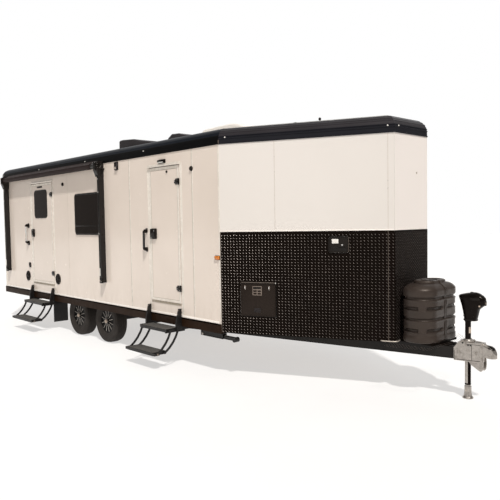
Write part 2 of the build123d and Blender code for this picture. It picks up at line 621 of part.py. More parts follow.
for name, (x0, x1) in STEPS.items():
    for which, (py, pz) in PIVOTS.items():
        low_hole = 6.08 if which == "outer" else 7.5
        with BuildPart() as arms:
            for a, b in across(x0, x1, *PLANES[which]):
                profile_x(link(py, pz), a, b)
                rod_x(a - 1, b + 1, py, pz, 6.08, mode=Mode.SUBTRACT)
                rod_x(a - 1, b + 1, py + DY, pz + DZ, low_hole, mode=Mode.SUBTRACT)
        arms.part.label = name + "_step_" + which + "_arms"
        export_step(arms.part, "parts/" + name + "_step_" + which + "_arms.step")
    with BuildPart() as tread:
        block(x0 + 61, x1 - 61, LOW_Y, LOW_Y + TREAD_D, LOW_Z - TREAD_T, LOW_Z)
        block(x0 + 22, x1 - 22, LOW_Y, LOW_Y + 18, LOW_Z - 35, LOW_Z - 2)
        for a, b in across(x0, x1, 22, 30):
            block(a, b, LOW_Y, LOW_Y + 78, LOW_Z - 35, LOW_Z - 2)
        y, z = PIVOTS["outer"]
        for a, b in across(x0, x1, 30, 43):
            rod_x(a, b, y + DY, z + DZ, PIN_R)
        y, z = PIVOTS["inner"]
        for a, b in across(x0, x1, 48, 61):
            rod_x(a, b, y + DY, z + DZ, PIN_R)
    tread.part.label = name + "_lower_step"
    export_step(tread.part, "parts/" + name + "_lower_step.step")
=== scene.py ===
import math
import random

import bmesh
import bpy
from mathutils import Matrix, Vector


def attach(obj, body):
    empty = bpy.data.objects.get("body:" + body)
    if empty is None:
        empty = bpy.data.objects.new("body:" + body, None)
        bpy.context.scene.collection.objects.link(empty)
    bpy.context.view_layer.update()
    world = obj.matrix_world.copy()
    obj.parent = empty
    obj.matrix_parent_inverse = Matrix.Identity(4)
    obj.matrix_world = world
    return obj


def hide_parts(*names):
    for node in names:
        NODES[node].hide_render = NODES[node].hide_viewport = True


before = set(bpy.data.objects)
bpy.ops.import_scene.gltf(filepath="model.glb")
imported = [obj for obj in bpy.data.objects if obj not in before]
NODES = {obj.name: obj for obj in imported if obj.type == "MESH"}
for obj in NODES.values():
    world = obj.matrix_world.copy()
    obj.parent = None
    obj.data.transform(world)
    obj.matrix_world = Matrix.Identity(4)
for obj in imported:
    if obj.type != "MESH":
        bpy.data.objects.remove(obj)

random.seed(7)

# Stations in millimetres: x from the rear wall, y from the centreline, z from
# the ground, as in the part's own source.
X0, Y0 = -4659.5, 211.5
HALF, SIDE, NOSE, FLAT = 1219.0, 6614.0, 1793.0, 654.0
RAIL_Z0, RAIL_Z1, NOSE_Z0, PLATE_Z1, TRIM_Z0, TRIM_Z1 = 516.0, 630.0, 535.0, 1728.0, 2763.0, 2965.0
ROOF_Z1 = 2970.0
NOSE_A = math.atan2(HALF - FLAT / 2, NOSE)
NOSE_LEN = math.hypot(NOSE, HALF - FLAT / 2)


def W(x, y, z):
    return Vector(((x + X0) / 1000, (y + Y0) / 1000, z / 1000))


class Frame:
    """A wall's own axes: a along it, b up or across, c out of it, in mm."""

    def __init__(self, origin, a, b, c):
        self.o, self.a, self.b, self.c = Vector(origin), Vector(a), Vector(b), Vector(c)

    def __call__(self, a, b, c):
        p = self.o + self.a * a + self.b * b + self.c * c
        return W(p.x, p.y, p.z)

    def at(self, a, b, c):
        return Frame(self.o + self.a * a + self.b * b + self.c * c, self.a, self.b, self.c)

    def turned(self, deg):
        t = math.radians(deg)
        return Frame(self.o, self.a * math.cos(t) + self.b * math.sin(t),
                     self.b * math.cos(t) - self.a * math.sin(t), self.c)


CA, SA = math.cos(NOSE_A), math.sin(NOSE_A)
RIGHT = Frame((0, -HALF, 0), (1, 0, 0), (0, 0, 1), (0, -1, 0))
LEFT = Frame((0, HALF, 0), (1, 0, 0), (0, 0, 1), (0, 1, 0))
NOSE_R = Frame((SIDE, -HALF, 0), (CA, SA, 0), (0, 0, 1), (SA, -CA, 0))
NOSE_L = Frame((SIDE, HALF, 0), (CA, -SA, 0), (0, 0, 1), (SA, CA, 0))
FRONT = Frame((SIDE + NOSE, 0, 0), (0, 1, 0), (0, 0, 1), (1, 0, 0))
REAR = Frame((0, 0, 0), (0, 1, 0), (0, 0, 1), (-1, 0, 0))
ROOF = Frame((0, 0, ROOF_Z1), (1, 0, 0), (0, 1, 0), (0, 0, 1))
GROUND = Frame((0, 0, 0), (1, 0, 0), (0, 1, 0), (0, 0, 1))


# ---------------------------------------------------------------- materials
def tree(name):
    m = bpy.data.materials.new(name)
    m.use_nodes = True
    nt = m.node_tree
    bsdf = next(n for n in nt.nodes if n.type == "BSDF_PRINCIPLED")
    return m, nt, bsdf


def node(nt, kind, **inputs):
    n = nt.nodes.new(kind)
    for k, v in inputs.items():
        if k in n.inputs:
            n.inputs[k].default_value = v
    return n


def ramp(nt, source, stops):
    r = nt.nodes.new("ShaderNodeValToRGB")
    while len(r.color_ramp.elements) < len(stops):
        r.color_ramp.elements.new(0.5)
    for e, (at, col) in zip(r.color_ramp.elements, stops):
        e.position = at
        e.color = (*col, 1) if len(col) == 3 else col
    nt.links.new(source, r.inputs[0])
    return r.outputs[0]


def coords(nt, scale=(1, 1, 1)):
    tc = nt.nodes.new("ShaderNodeTexCoord")
    mp = nt.nodes.new("ShaderNodeMapping")
    mp.inputs["Scale"].default_value = scale
    nt.links.new(tc.outputs["Object"], mp.inputs["Vector"])
    return mp.outputs["Vector"]


def noise(nt, scale, detail=3.0, rough=0.55, stretch=(1, 1, 1)):
    n = nt.nodes.new("ShaderNodeTexNoise")
    n.inputs["Scale"].default_value = scale
    n.inputs["Detail"].default_value = detail
    n.inputs["Roughness"].default_value = rough
    nt.links.new(coords(nt, stretch), n.inputs["Vector"])
    return n.outputs["Fac"]


def voronoi(nt, scale, feature="F1", out="Distance", stretch=(1, 1, 1)):
    n = nt.nodes.new("ShaderNodeTexVoronoi")
    n.feature = feature
    n.inputs["Scale"].default_value = scale
    nt.links.new(coords(nt, stretch), n.inputs["Vector"])
    return n.outputs[out]


def bumps(nt, bsdf, layers):
    """layers of (height socket, distance in metres, strength)."""
    last = None
    for sock, dist, strength in layers:
        b = nt.nodes.new("ShaderNodeBump")
        b.inputs["Distance"].default_value = dist
        b.inputs["Strength"].default_value = strength
        nt.links.new(sock, b.inputs["Height"])
        if last:
            nt.links.new(last, b.inputs["Normal"])
        last = b.outputs["Normal"]
    nt.links.new(last, bsdf.inputs["Normal"])


def mixcol(nt, fac, a, b):
    m = nt.nodes.new("ShaderNodeMix")
    m.data_type = "RGBA"
    for i, v in ((6, a), (7, b)):
        if isinstance(v, tuple):
            m.inputs[i].default_value = (*v, 1)
        else:
            nt.links.new(v, m.inputs[i])
    if isinstance(fac, float):
        m.inputs[0].default_value = fac
    else:
        nt.links.new(fac, m.inputs[0])
    return m.outputs[2]


def math_node(nt, op, a, b=None, clamp=False):
    m = nt.nodes.new("ShaderNodeMath")
    m.operation = op
    m.use_clamp = clamp
    for i, v in enumerate((a, b)):
        if v is None:
            continue
        if isinstance(v, (int, float)):
            m.inputs[i].default_value = v
        else:
            nt.links.new(v, m.inputs[i])
    return m.outputs[0]


def height(nt):
    sep = nt.nodes.new("ShaderNodeSeparateXYZ")
    nt.links.new(coords(nt), sep.inputs[0])
    return sep.outputs["Z"]


def painted(name, a, b, rough, coat=0.0, metal=0.0, var=2.0, wave=None, peel=None, grime=None, spec=0.5,
            rough_var=0.08, coat_rough=0.05, tint=(1, 1, 1)):
    """A coated surface: two near colours mixed by cloudy noise, roughness that
    varies, and bump from panel waves and fine peel."""
    m, nt, p = tree(name)
    cloud = noise(nt, var, 4.0)
    fac = ramp(nt, cloud, [(0.35, (0, 0, 0)), (0.65, (1, 1, 1))])
    col = mixcol(nt, fac, a, b)
    if grime:
        colour, z0, z1, amount = grime
        z = height(nt)
        g = nt.nodes.new("ShaderNodeMapRange")
        g.inputs["From Min"].default_value = z0
        g.inputs["From Max"].default_value = z1
        g.inputs["To Min"].default_value = amount
        g.inputs["To Max"].default_value = 0.0
        nt.links.new(z, g.inputs["Value"])
        spots = ramp(nt, noise(nt, 9.0, 6.0, 0.7, (1, 1, 0.35)), [(0.4, (0, 0, 0)), (0.75, (1, 1, 1))])
        col = mixcol(nt, math_node(nt, "MULTIPLY", g.outputs[0], spots), col, colour)
    nt.links.new(col, p.inputs["Base Color"])
    r = ramp(nt, noise(nt, 14.0, 5.0, 0.6), [(0.3, (rough - rough_var,) * 3), (0.7, (rough + rough_var,) * 3)])
    nt.links.new(r, p.inputs["Roughness"])
    p.inputs["Metallic"].default_value = metal
    p.inputs["Coat Weight"].default_value = coat
    p.inputs["Coat Roughness"].default_value = coat_rough
    p.inputs["Specular IOR Level"].default_value = spec
    p.inputs["Specular Tint"].default_value = (*tint, 1)
    layers = []
    if wave:
        layers.append((noise(nt, wave[0], 1.5, 0.4), wave[1], wave[2] if len(wave) > 2 else 1.0))
    if peel:
        layers.append((noise(nt, peel[0], 2.0, 0.5), peel[1], 1.0))
    if layers:
        bumps(nt, p, layers)
    return m


def grained(name, a, b, rough, grain=900.0, depth=0.0002, var=5.0, spec=0.4, worn=None, tint=(1, 1, 1)):
    """Moulded plastic or rubber with a pebbled grain."""
    m, nt, p = tree(name)
    fac = ramp(nt, noise(nt, var, 5.0, 0.6), [(0.3, (0, 0, 0)), (0.7, (1, 1, 1))])
    col = mixcol(nt, fac, a, b)
    if worn:
        chips = ramp(nt, noise(nt, 60.0, 6.0, 0.75), [(0.62, (0, 0, 0)), (0.70, (1, 1, 1))])
        col = mixcol(nt, chips, col, worn)
    nt.links.new(col, p.inputs["Base Color"])
    r = ramp(nt, noise(nt, 30.0, 4.0, 0.6), [(0.3, (rough - 0.08,) * 3), (0.7, (rough + 0.08,) * 3)])
    nt.links.new(r, p.inputs["Roughness"])
    p.inputs["Specular IOR Level"].default_value = spec
    p.inputs["Specular Tint"].default_value = (*tint, 1)
    bumps(nt, p, [(voronoi(nt, grain), depth, 0.7), (noise(nt, 40.0, 3.0), 0.0004, 0.5)])
    return m


def metallic(name, a, b, rough, scale=14.0, spangle=False, brushed=None, dirt=None, metal=1.0):
    m, nt, p = tree(name)
    if spangle:
        cell = nt.nodes.new("ShaderNodeTexVoronoi")
        cell.inputs["Scale"].default_value = 70.0
        nt.links.new(coords(nt), cell.inputs["Vector"])
        sep = nt.nodes.new("ShaderNodeSeparateColor")
        nt.links.new(cell.outputs["Color"], sep.inputs[0])
        fac = sep.outputs[0]
    else:
        fac = ramp(nt, noise(nt, scale, 5.0, 0.65), [(0.3, (0, 0, 0)), (0.7, (1, 1, 1))])
    col = mixcol(nt, fac, a, b)
    if dirt:
        spots = ramp(nt, noise(nt, 22.0, 7.0, 0.7), [(0.52, (0, 0, 0)), (0.68, (1, 1, 1))])
        col = mixcol(nt, spots, col, dirt)
    nt.links.new(col, p.inputs["Base Color"])
    stretch = brushed or (1, 1, 1)
    r = ramp(nt, noise(nt, 60.0 if brushed else 25.0, 4.0, 0.6, stretch),
             [(0.25, (max(rough - 0.12, 0.02),) * 3), (0.75, (rough + 0.12,) * 3)])
    nt.links.new(r, p.inputs["Roughness"])
    p.inputs["Metallic"].default_value = metal
    bumps(nt, p, [(noise(nt, 220.0, 3.0, 0.6, stretch), 0.00025, 0.6)])
    return m


def glass_dark(name, tint, rough=0.04):
    m, nt, p = tree(name)
    fac = ramp(nt, noise(nt, 1.6, 3.0), [(0.3, (0, 0, 0)), (0.7, (1, 1, 1))])
    nt.links.new(mixcol(nt, fac, tint, tuple(c * 1.5 for c in tint)), p.inputs["Base Color"])
    smear = ramp(nt, noise(nt, 7.0, 5.0, 0.7), [(0.4, (rough,) * 3), (0.8, (rough + 0.05,) * 3)])
    nt.links.new(smear, p.inputs["Roughness"])
    p.inputs["Coat Weight"].default_value = 0.1
    p.inputs["Specular IOR Level"].default_value = 0.22
    p.inputs["Specular Tint"].default_value = (1.0, 0.82, 0.74, 1)
    bumps(nt, p, [(noise(nt, 2.2, 1.0), 0.0008, 0.6)])
    return m


def lens(name, col, deep):
    m, nt, p = tree(name)
    fac = ramp(nt, voronoi(nt, 160.0), [(0.2, (0, 0, 0)), (0.6, (1, 1, 1))])
    nt.links.new(mixcol(nt, fac, col, deep), p.inputs["Base Color"])
    p.inputs["Roughness"].default_value = 0.12
    p.inputs["Coat Weight"].default_value = 0.8
    p.inputs["Subsurface Weight"].default_value = 0.15
    p.inputs["Subsurface Radius"].default_value = (0.01, 0.004, 0.002)
    bumps(nt, p, [(voronoi(nt, 160.0), 0.0006, 0.8)])
    return m


WHITE_A, WHITE_B = (0.785, 0.690, 0.610), (0.745, 0.652, 0.572)
MAT = {
    "white": painted("white_skin", WHITE_A, WHITE_B, 0.20, coat=0.35, var=0.9, wave=(1.1, 0.004, 0.5), grime=((0.42, 0.33, 0.24), 0.52, 1.05, 0.30), coat_rough=0.08),
    # painted light: the nose faces take a slightly darker copy of the white skin, and the front face a lighter one
    "white_nose_shaded": painted("white_skin_nose_shaded", (0.710, 0.665, 0.622), (0.694, 0.650, 0.606), 0.34, coat=0.1, var=0.9,
                          wave=(1.0, 0.003, 0.4), rough_var=0.02),
    "white_front_lit": painted("white_skin_front_lit", (0.820, 0.760, 0.716), (0.800, 0.740, 0.696), 0.34, coat=0.1, var=0.9,
                           wave=(1.0, 0.003, 0.4), rough_var=0.02),
    "white_frame": painted("white_extrusion", (0.80, 0.74, 0.67), (0.74, 0.68, 0.60), 0.26, coat=0.2, var=6.0,
                           peel=(300.0, 0.0001), grime=((0.42, 0.33, 0.24), 0.75, 1.1, 0.3)),
    "edge_white": painted("wall_foot_moulding", (0.90, 0.84, 0.78), (0.86, 0.80, 0.74), 0.24, coat=0.3, var=6.0,
                          peel=(300.0, 0.0001)),
    "sill": painted("sill_metal", (0.42, 0.36, 0.28), (0.33, 0.28, 0.21), 0.38, metal=0.35, var=20.0,
                    peel=(180.0, 0.0003)),
    "trim": painted("roof_edge_enamel", (0.0034, 0.0052, 0.0092), (0.0044, 0.0065, 0.0112), 0.38, coat=0.0, var=3.0,
                    wave=(1.6, 0.001, 0.4), spec=0.06, rough_var=0.03),
    "band": painted("roof_edge_black", (0.0022, 0.0022, 0.0024), (0.0030, 0.0030, 0.0033), 0.40, coat=0.0, var=3.0,
                    peel=(300.0, 0.00005), spec=0.06, rough_var=0.03),
    # painted light: the nose's roof edge takes lighter copies of the side edge's two tones
    "trim_nose_lower_lit": painted("roof_edge_nose_lower_lit", (0.0110, 0.0112, 0.0150), (0.0090, 0.0092, 0.0126), 0.36, coat=0.0,
                         var=3.0, spec=0.12, rough_var=0.03),
    "jackblack": painted("jack_black", (0.0030, 0.0020, 0.0016), (0.0046, 0.0032, 0.0026), 0.30, coat=0.0, var=20.0,
                         peel=(400.0, 0.00005), spec=0.12, tint=(1.0, 0.86, 0.78)),
    "spoke": metallic("spoke_face", (0.44, 0.40, 0.36), (0.36, 0.33, 0.30), 0.42, scale=50.0, metal=0.3),
    "hubcap": metallic("hub_cap", (0.52, 0.42, 0.34), (0.42, 0.34, 0.27), 0.40, scale=50.0, metal=0.3),
    "hinge_line": metallic("hinge_edge", (0.22, 0.185, 0.155), (0.17, 0.14, 0.12), 0.40, scale=50.0, metal=0.3),
    # painted shade: a darker finish for the tread bars of the crossing direction
    "stud_shaded": painted("tread_plate_shaded_bars", (0.0075, 0.0050, 0.0038), (0.0055, 0.0036, 0.0028), 0.40, coat=0.0,
                        var=12.0, peel=(300.0, 0.0001), spec=0.14, tint=(1.0, 0.8, 0.7)),
    "trim_nose_upper_lit": painted("roof_edge_nose_upper_lit", (0.0260, 0.0232, 0.0268), (0.0215, 0.0192, 0.0222), 0.36, coat=0.0,
                          var=3.0, spec=0.25, rough_var=0.03),
    "bronze": painted("bronze_rail", (0.0200, 0.0092, 0.0044), (0.0155, 0.0072, 0.0036), 0.46, coat=0.0, var=4.0,
                      peel=(160.0, 0.0001), grime=((0.05, 0.032, 0.021), 0.50, 0.62, 0.4), spec=0.08,
                      tint=(1.0, 0.86, 0.74)),
    "plate": painted("tread_plate_coat", (0.0040, 0.0024, 0.0017), (0.0029, 0.0018, 0.0013), 0.50, coat=0.0,
                     var=6.0, peel=(240.0, 0.0001), spec=0.06, tint=(1.0, 0.78, 0.66)),
    # painted glint: a bright worn-metal finish, given on the nose to the bars of one direction only
    "stud_wear_and_glint": metallic("tread_plate_wear_and_painted_glint", (0.112, 0.092, 0.080), (0.050, 0.041, 0.036), 0.36, scale=12.0, metal=0.45),
    # painted light: lighter crossing bars for the front face
    "stud_front_lit": metallic("tread_plate_front_bars_lit", (0.052, 0.040, 0.034), (0.030, 0.023, 0.020), 0.40, scale=12.0, metal=0.3),
    "hatch": painted("hatch_enamel", (0.0105, 0.0070, 0.0052), (0.0082, 0.0055, 0.0042), 0.42, coat=0.0, var=4.0,
                     wave=(4.0, 0.001, 0.5), peel=(260.0, 0.0001), spec=0.25, tint=(1.0, 0.82, 0.72)),
    "plastic": grained("black_plastic", (0.0085, 0.0070, 0.0062), (0.0125, 0.0104, 0.0092), 0.46, spec=0.16,
                       tint=(1.0, 0.9, 0.82)),
    "gloss": painted("gloss_black", (0.0042, 0.0034, 0.0031), (0.0062, 0.0051, 0.0047), 0.24, coat=0.05, var=20.0,
                     peel=(400.0, 0.00005), spec=0.2, tint=(1.0, 0.92, 0.86)),
    "steel": grained("black_powder_coat", (0.0070, 0.0062, 0.0060), (0.0115, 0.0100, 0.0095), 0.40, grain=700.0,
                     depth=0.00015, worn=(0.03, 0.025, 0.021), spec=0.3),
    "frame": grained("frame_paint", (0.0080, 0.0065, 0.0058), (0.014, 0.0115, 0.0095), 0.50, grain=400.0, depth=0.0003,
                     worn=(0.04, 0.028, 0.02), spec=0.25),
    "grip": grained("step_grit", (0.060, 0.056, 0.052), (0.085, 0.080, 0.074), 0.82, grain=420.0, depth=0.0012,
                    var=12.0),
    "cover": grained("cover_plastic", (0.0262, 0.0188, 0.0155), (0.0345, 0.0255, 0.0212), 0.42, grain=650.0, depth=0.0002,
                     var=3.0, spec=0.38, tint=(1.0, 0.88, 0.78)),
    "zinc": metallic("galvanised", (0.50, 0.462, 0.425), (0.40, 0.370, 0.340), 0.42, spangle=True,
                     dirt=(0.30, 0.275, 0.245)),
    "bright": metallic("bright_metal", (0.80, 0.79, 0.77), (0.66, 0.65, 0.63), 0.16, scale=60.0),
    "machined": metallic("machined_alloy", (0.74, 0.72, 0.70), (0.60, 0.585, 0.565), 0.24, brushed=(1, 30, 1)),
    "alloy": painted("alloy_black", (0.0026, 0.0022, 0.0020), (0.0042, 0.0036, 0.0032), 0.34, coat=0.0, var=20.0,
                     peel=(350.0, 0.0001), spec=0.10),
    "tyre": grained("tyre_rubber", (0.0215, 0.0175, 0.0150), (0.0330, 0.0275, 0.0235), 0.78, grain=500.0, depth=0.0003,
                    spec=0.3),
    "rubber": grained("rubber_black", (0.012, 0.012, 0.012), (0.020, 0.019, 0.018), 0.62, grain=600.0, depth=0.0002),
    "glass": glass_dark("tinted_glass", (0.0048, 0.0031, 0.0024)),
    "roll": grained("awning_vinyl", (0.0215, 0.0138, 0.0130), (0.0280, 0.0186, 0.0176), 0.52, grain=800.0, depth=0.0002,
                    var=1.5, spec=0.08, tint=(1.0, 0.88, 0.84)),
    "arm": painted("awning_arm", (0.0140, 0.0110, 0.0100), (0.0100, 0.0080, 0.0072), 0.34, coat=0.0, var=4.0,
                   peel=(300.0, 0.0001), spec=0.3),
    "roof": painted("roof_sheet", (0.62, 0.61, 0.58), (0.52, 0.51, 0.48), 0.45, metal=0.2, var=1.2,
                    wave=(1.5, 0.004, 0.5), peel=(90.0, 0.0003)),
    "shroud_white": painted("shroud_white", (0.90, 0.86, 0.81), (0.85, 0.81, 0.76), 0.42, var=3.0,
                            peel=(400.0, 0.0003)),
    "shroud_black": grained("shroud_black", (0.0280, 0.0250, 0.0272), (0.0370, 0.0335, 0.0360), 0.54, grain=500.0,
                            depth=0.0003, var=2.0, spec=0.14),
    "amber": lens("amber_lens", (0.85, 0.30, 0.02), (0.55, 0.14, 0.005)),
    "red": lens("red_lens", (0.50, 0.012, 0.010), (0.25, 0.004, 0.004)),
    "clear": lens("clear_lens", (0.72, 0.70, 0.66), (0.45, 0.44, 0.42)),
    "label": painted("blank_plate", (0.80, 0.77, 0.72), (0.72, 0.69, 0.64), 0.35, var=30.0, peel=(300.0, 0.0001)),
    "silver": metallic("satin_silver", (0.60, 0.53, 0.46), (0.50, 0.44, 0.38), 0.34, scale=40.0, metal=0.6),
    "dull": metallic("dull_plate", (0.25, 0.20, 0.165), (0.18, 0.145, 0.12), 0.42, scale=40.0, metal=0.5),
    "redwire": painted("red_wire", (0.20, 0.012, 0.008), (0.13, 0.008, 0.006), 0.45, var=60.0,
                       peel=(500.0, 0.0001)),
    "lining": painted("inner_lining", (0.66, 0.62, 0.56), (0.60, 0.56, 0.50), 0.5, var=2.0, peel=(200.0, 0.0002)),
}


def plywood():
    m, nt, p = tree("sealed_plywood")
    n1 = noise(nt, 5.0, 8.0, 0.7, (0.6, 9, 9))
    col = ramp(nt, n1, [(0.25, (0.26, 0.16, 0.085)), (0.5, (0.42, 0.29, 0.17)), (0.75, (0.52, 0.38, 0.24))])
    nt.links.new(col, p.inputs["Base Color"])
    p.inputs["Roughness"].default_value = 0.55
    bumps(nt, p, [(noise(nt, 30.0, 6.0, 0.7, (0.4, 8, 8)), 0.0008, 0.8)])
    return m


MAT["ply"] = plywood()


# ---------------------------------------------------------------- mesh making
class Build:
    """Collects faces with their material, then makes one object."""

    def __init__(self):
        self.v, self.f, self.m, self.mats = [], [], [], []

    def mat(self, key):
        if key not in self.mats:
            self.mats.append(key)
        return self.mats.index(key)

    def add(self, verts, faces, key):
        k = self.mat(key)
        o = len(self.v)
        self.v += [tuple(p) for p in verts]
        self.f += [tuple(o + i for i in f) for f in faces]
        self.m += [k] * len(faces)

    def loops(self, rings, key, cap0=True, cap1=True, closed=True):
        """Skins successive rings of equal length."""
        n = len(rings[0])
        verts = [p for r in rings for p in r]
        faces = []
        span = n if closed else n - 1
        for i in range(len(rings) - 1):
            for j in range(span):
                k = (j + 1) % n
                faces.append((i * n + j, i * n + k, (i + 1) * n + k, (i + 1) * n + j))
        if cap0:
            faces.append(tuple(range(n))[::-1])
        if cap1:
            faces.append(tuple((len(rings) - 1) * n + j for j in range(n)))
        self.add(verts, faces, key)

    # -- outlines in a frame
    def slab(self, F, pts, c0, c1, key, bev=1.0, both=False):
        """Extrudes an outline along c with a rounded rim on its outer face."""
        levels = [(0, c0)]
        if both:
            levels = [(bev, c0), (0.3 * bev, c0 + 0.3 * bev), (0, c0 + bev)]
        levels += [(0, c1 - bev), (0.3 * bev, c1 - 0.3 * bev), (bev, c1)] if bev else [(0, c1)]
        rings = [[F(a, b, c) for a, b in inset(pts, d)] for d, c in levels]
        self.loops(rings, key)

    def box(self, F, a0, a1, b0, b1, c0, c1, key, r=0.0, bev=1.0, both=False):
        self.slab(F, rect(a0, a1, b0, b1, r), c0, c1, key, bev, both)

    def frame_ring(self, F, a0, a1, b0, b1, width, c0, c1, key, r=0.0, bev=1.0):
        """A picture frame: outer rectangle, inner one `width` smaller."""
        outer = rect(a0, a1, b0, b1, r if r else 0.01, 8)
        inner = rect(a0 + width, a1 - width, b0 + width, b1 - width, max(r - width, 0.01), 8)
        rings = [[F(a, b, c0) for a, b in outer], [F(a, b, c1 - bev) for a, b in outer],
                 [F(a, b, c1) for a, b in inset(outer, bev)],
                 [F(a, b, c1) for a, b in inset(inner, -bev)], [F(a, b, c1 - bev) for a, b in inner],
                 [F(a, b, c0) for a, b in inner]]
        rings.append(rings[0])
        self.loops(rings, key, False, False)

    def lathe(self, F, profile, key, seg=24, a=0.0, b=0.0, hollow=False):
        """profile of (radius, c) turned about the frame's c axis at a, b."""
        if hollow:
            rings = [[F(a + r * math.cos(t), b + r * math.sin(t), c) for r, c in profile]
                     for t in (2 * math.pi * i / seg for i in range(seg))]
            self.loops(rings + rings[:1], key, False, False)
            return
        rings = []
        for r, c in profile:
            rings.append([F(a + max(r, 0.01) * math.cos(t), b + max(r, 0.01) * math.sin(t), c)
                          for t in (2 * math.pi * i / seg for i in range(seg))])
        self.loops(rings, key)

    def screw(self, F, a, b, c, r, h, key, seg=10):
        self.lathe(F.at(a, b, c), [(r, -0.5), (r, h * 0.35), (r * 0.8, h * 0.8), (r * 0.4, h)], key, seg)

    def bolt(self, F, a, b, c, r, h, key):
        """A hexagon head on a washer."""
        G = F.at(a, b, c)
        self.lathe(G, [(r * 1.5, -0.5), (r * 1.5, h * 0.18), (r * 1.4, h * 0.25)], key, 14)
        self.lathe(G, [(r, h * 0.2), (r, h * 0.85), (r * 0.85, h)], key, 6)

    def tube(self, pts, radius, key, seg=10, caps=True, close=False):
        """A round tube along points given in metres."""
        pts = [Vector(p) for p in pts]
        n = len(pts)
        rings, ref = [], None
        for i, p in enumerate(pts):
            if close:
                d = pts[(i + 1) % n] - pts[i - 1]
            else:
                d = pts[min(i + 1, n - 1)] - pts[max(i - 1, 0)]
            d.normalize()
            if ref is None:
                ref = d.orthogonal().normalized()
            ref = (ref - d * ref.dot(d)).normalized()
            side = d.cross(ref)
            r = (radius[i] if isinstance(radius, (list, tuple)) else radius) / 1000
            rings.append([p + (ref * math.cos(t) + side * math.sin(t)) * r
                          for t in (2 * math.pi * k / seg for k in range(seg))])
        if close:
            rings.append(rings[0])
            self.loops(rings, key, False, False)
        else:
            self.loops(rings, key, caps, caps)

    def done(self, name, body, smooth=32.0, weld=True):
        me = bpy.data.meshes.new(name)
        me.from_pydata(self.v, [], self.f)
        for k in self.mats:
            me.materials.append(MAT[k])
        me.polygons.foreach_set("material_index", self.m)
        bm = bmesh.new()
        bm.from_mesh(me)
        if weld:
            bmesh.ops.remove_doubles(bm, verts=bm.verts, dist=2e-6)
            bmesh.ops.dissolve_degenerate(bm, dist=1e-7, edges=bm.edges)
        bmesh.ops.recalc_face_normals(bm, faces=bm.faces)
        bm.to_mesh(me)
        bm.free()
        for p in me.polygons:
            p.use_smooth = True
        me.set_sharp_from_angle(angle=math.radians(smooth))
        me.update()
        ob = bpy.data.objects.new(name, me)
        bpy.context.scene.collection.objects.link(ob)
        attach(ob, body)
        return ob


def rect(a0, a1, b0, b1, r=0.0, seg=6):
    """A rectangle's outline, its corners rounded, anticlockwise."""
    if r <= 0:
        return [(a0, b0), (a1, b0), (a1, b1), (a0, b1)]
    pts = []
    for (cx, cy), t0 in (((a1 - r, b0 + r), -90), ((a1 - r, b1 - r), 0), ((a0 + r, b1 - r), 90), ((a0 + r, b0 + r), 180)):
        for i in range(seg + 1):
            t = math.radians(t0 + 90 * i / seg)
            pts.append((cx + r * math.cos(t), cy + r * math.sin(t)))
    return pts


def inset(pts, d):
    if not d:
        return list(pts)
    out, n = [], len(pts)
    for i in range(n):
        (ax, ay), (bx, by), (cx, cy) = pts[i - 1], pts[i], pts[(i + 1) % n]
        l1, l2 = math.hypot(bx - ax, by - ay) or 1e-9, math.hypot(cx - bx, cy - by) or 1e-9
        n1, n2 = (-(by - ay) / l1, (bx - ax) / l1), (-(cy - by) / l2, (cx - bx) / l2)
        k = d / max(1 + n1[0] * n2[0] + n1[1] * n2[1], 0.2)
        out.append((bx + k * (n1[0] + n2[0]), by + k * (n1[1] + n2[1])))
    return out


def smooth_path(pts, steps=8):
    """Catmull-Rom points through a list of vectors."""
    out = []
    n = len(pts)
    for i in range(n - 1):
        p0, p1, p2, p3 = pts[max(i - 1, 0)], pts[i], pts[i + 1], pts[min(i + 2, n - 1)]
        for k in range(steps):
            t = k / steps
            out.append(0.5 * ((2 * p1) + (p2 - p0) * t + (2 * p0 - 5 * p1 + 4 * p2 - p3) * t * t
                              + (3 * p1 - p0 - 3 * p2 + p3) * t ** 3))
    out.append(pts[-1])
    return out


def paint(names, key):
    for n in names:
        o = NODES[n]
        o.data.materials.clear()
        o.data.materials.append(MAT[key])


# plan outline of the body, and its corners moved out by d
OUT = [(0, -HALF), (SIDE, -HALF), (SIDE + NOSE, -FLAT / 2), (SIDE + NOSE, FLAT / 2), (SIDE, HALF), (0, HALF)]

# ---------------------------------------------------------------- camera, floor, light
EYE = W(11882.9, -5806.5, 1863.5)
YAW, PITCH, ROLL = math.radians(138.030), math.radians(2.835), math.radians(-1.025)
look = Vector((math.cos(PITCH) * math.cos(YAW), math.cos(PITCH) * math.sin(YAW), -math.sin(PITCH)))
right = look.cross(Vector((0, 0, 1))).normalized()
up = right.cross(look)
right, up = right * math.cos(ROLL) + up * math.sin(ROLL), up * math.cos(ROLL) - right * math.sin(ROLL)
cam_data = bpy.data.cameras.new("view")
cam_data.sensor_width = 36.0
cam_data.lens = 589.82 / 500 * 36.0
cam_data.shift_x = 0.04
cam_data.clip_end = 200.0
cam = bpy.data.objects.new("view", cam_data)
rot = Matrix((right, up, -look)).transposed().to_4x4()
cam.matrix_world = Matrix.Translation(EYE) @ rot
bpy.context.scene.collection.objects.link(cam)
bpy.context.scene.camera = cam

scene = bpy.context.scene
scene.view_settings.view_transform = "Standard"
scene.view_settings.look = "None"
scene.view_settings.exposure = 0.0

world = bpy.data.worlds.new("studio")
scene.world = world
world.use_nodes = True
wt = world.node_tree
bg = wt.nodes["Background"]
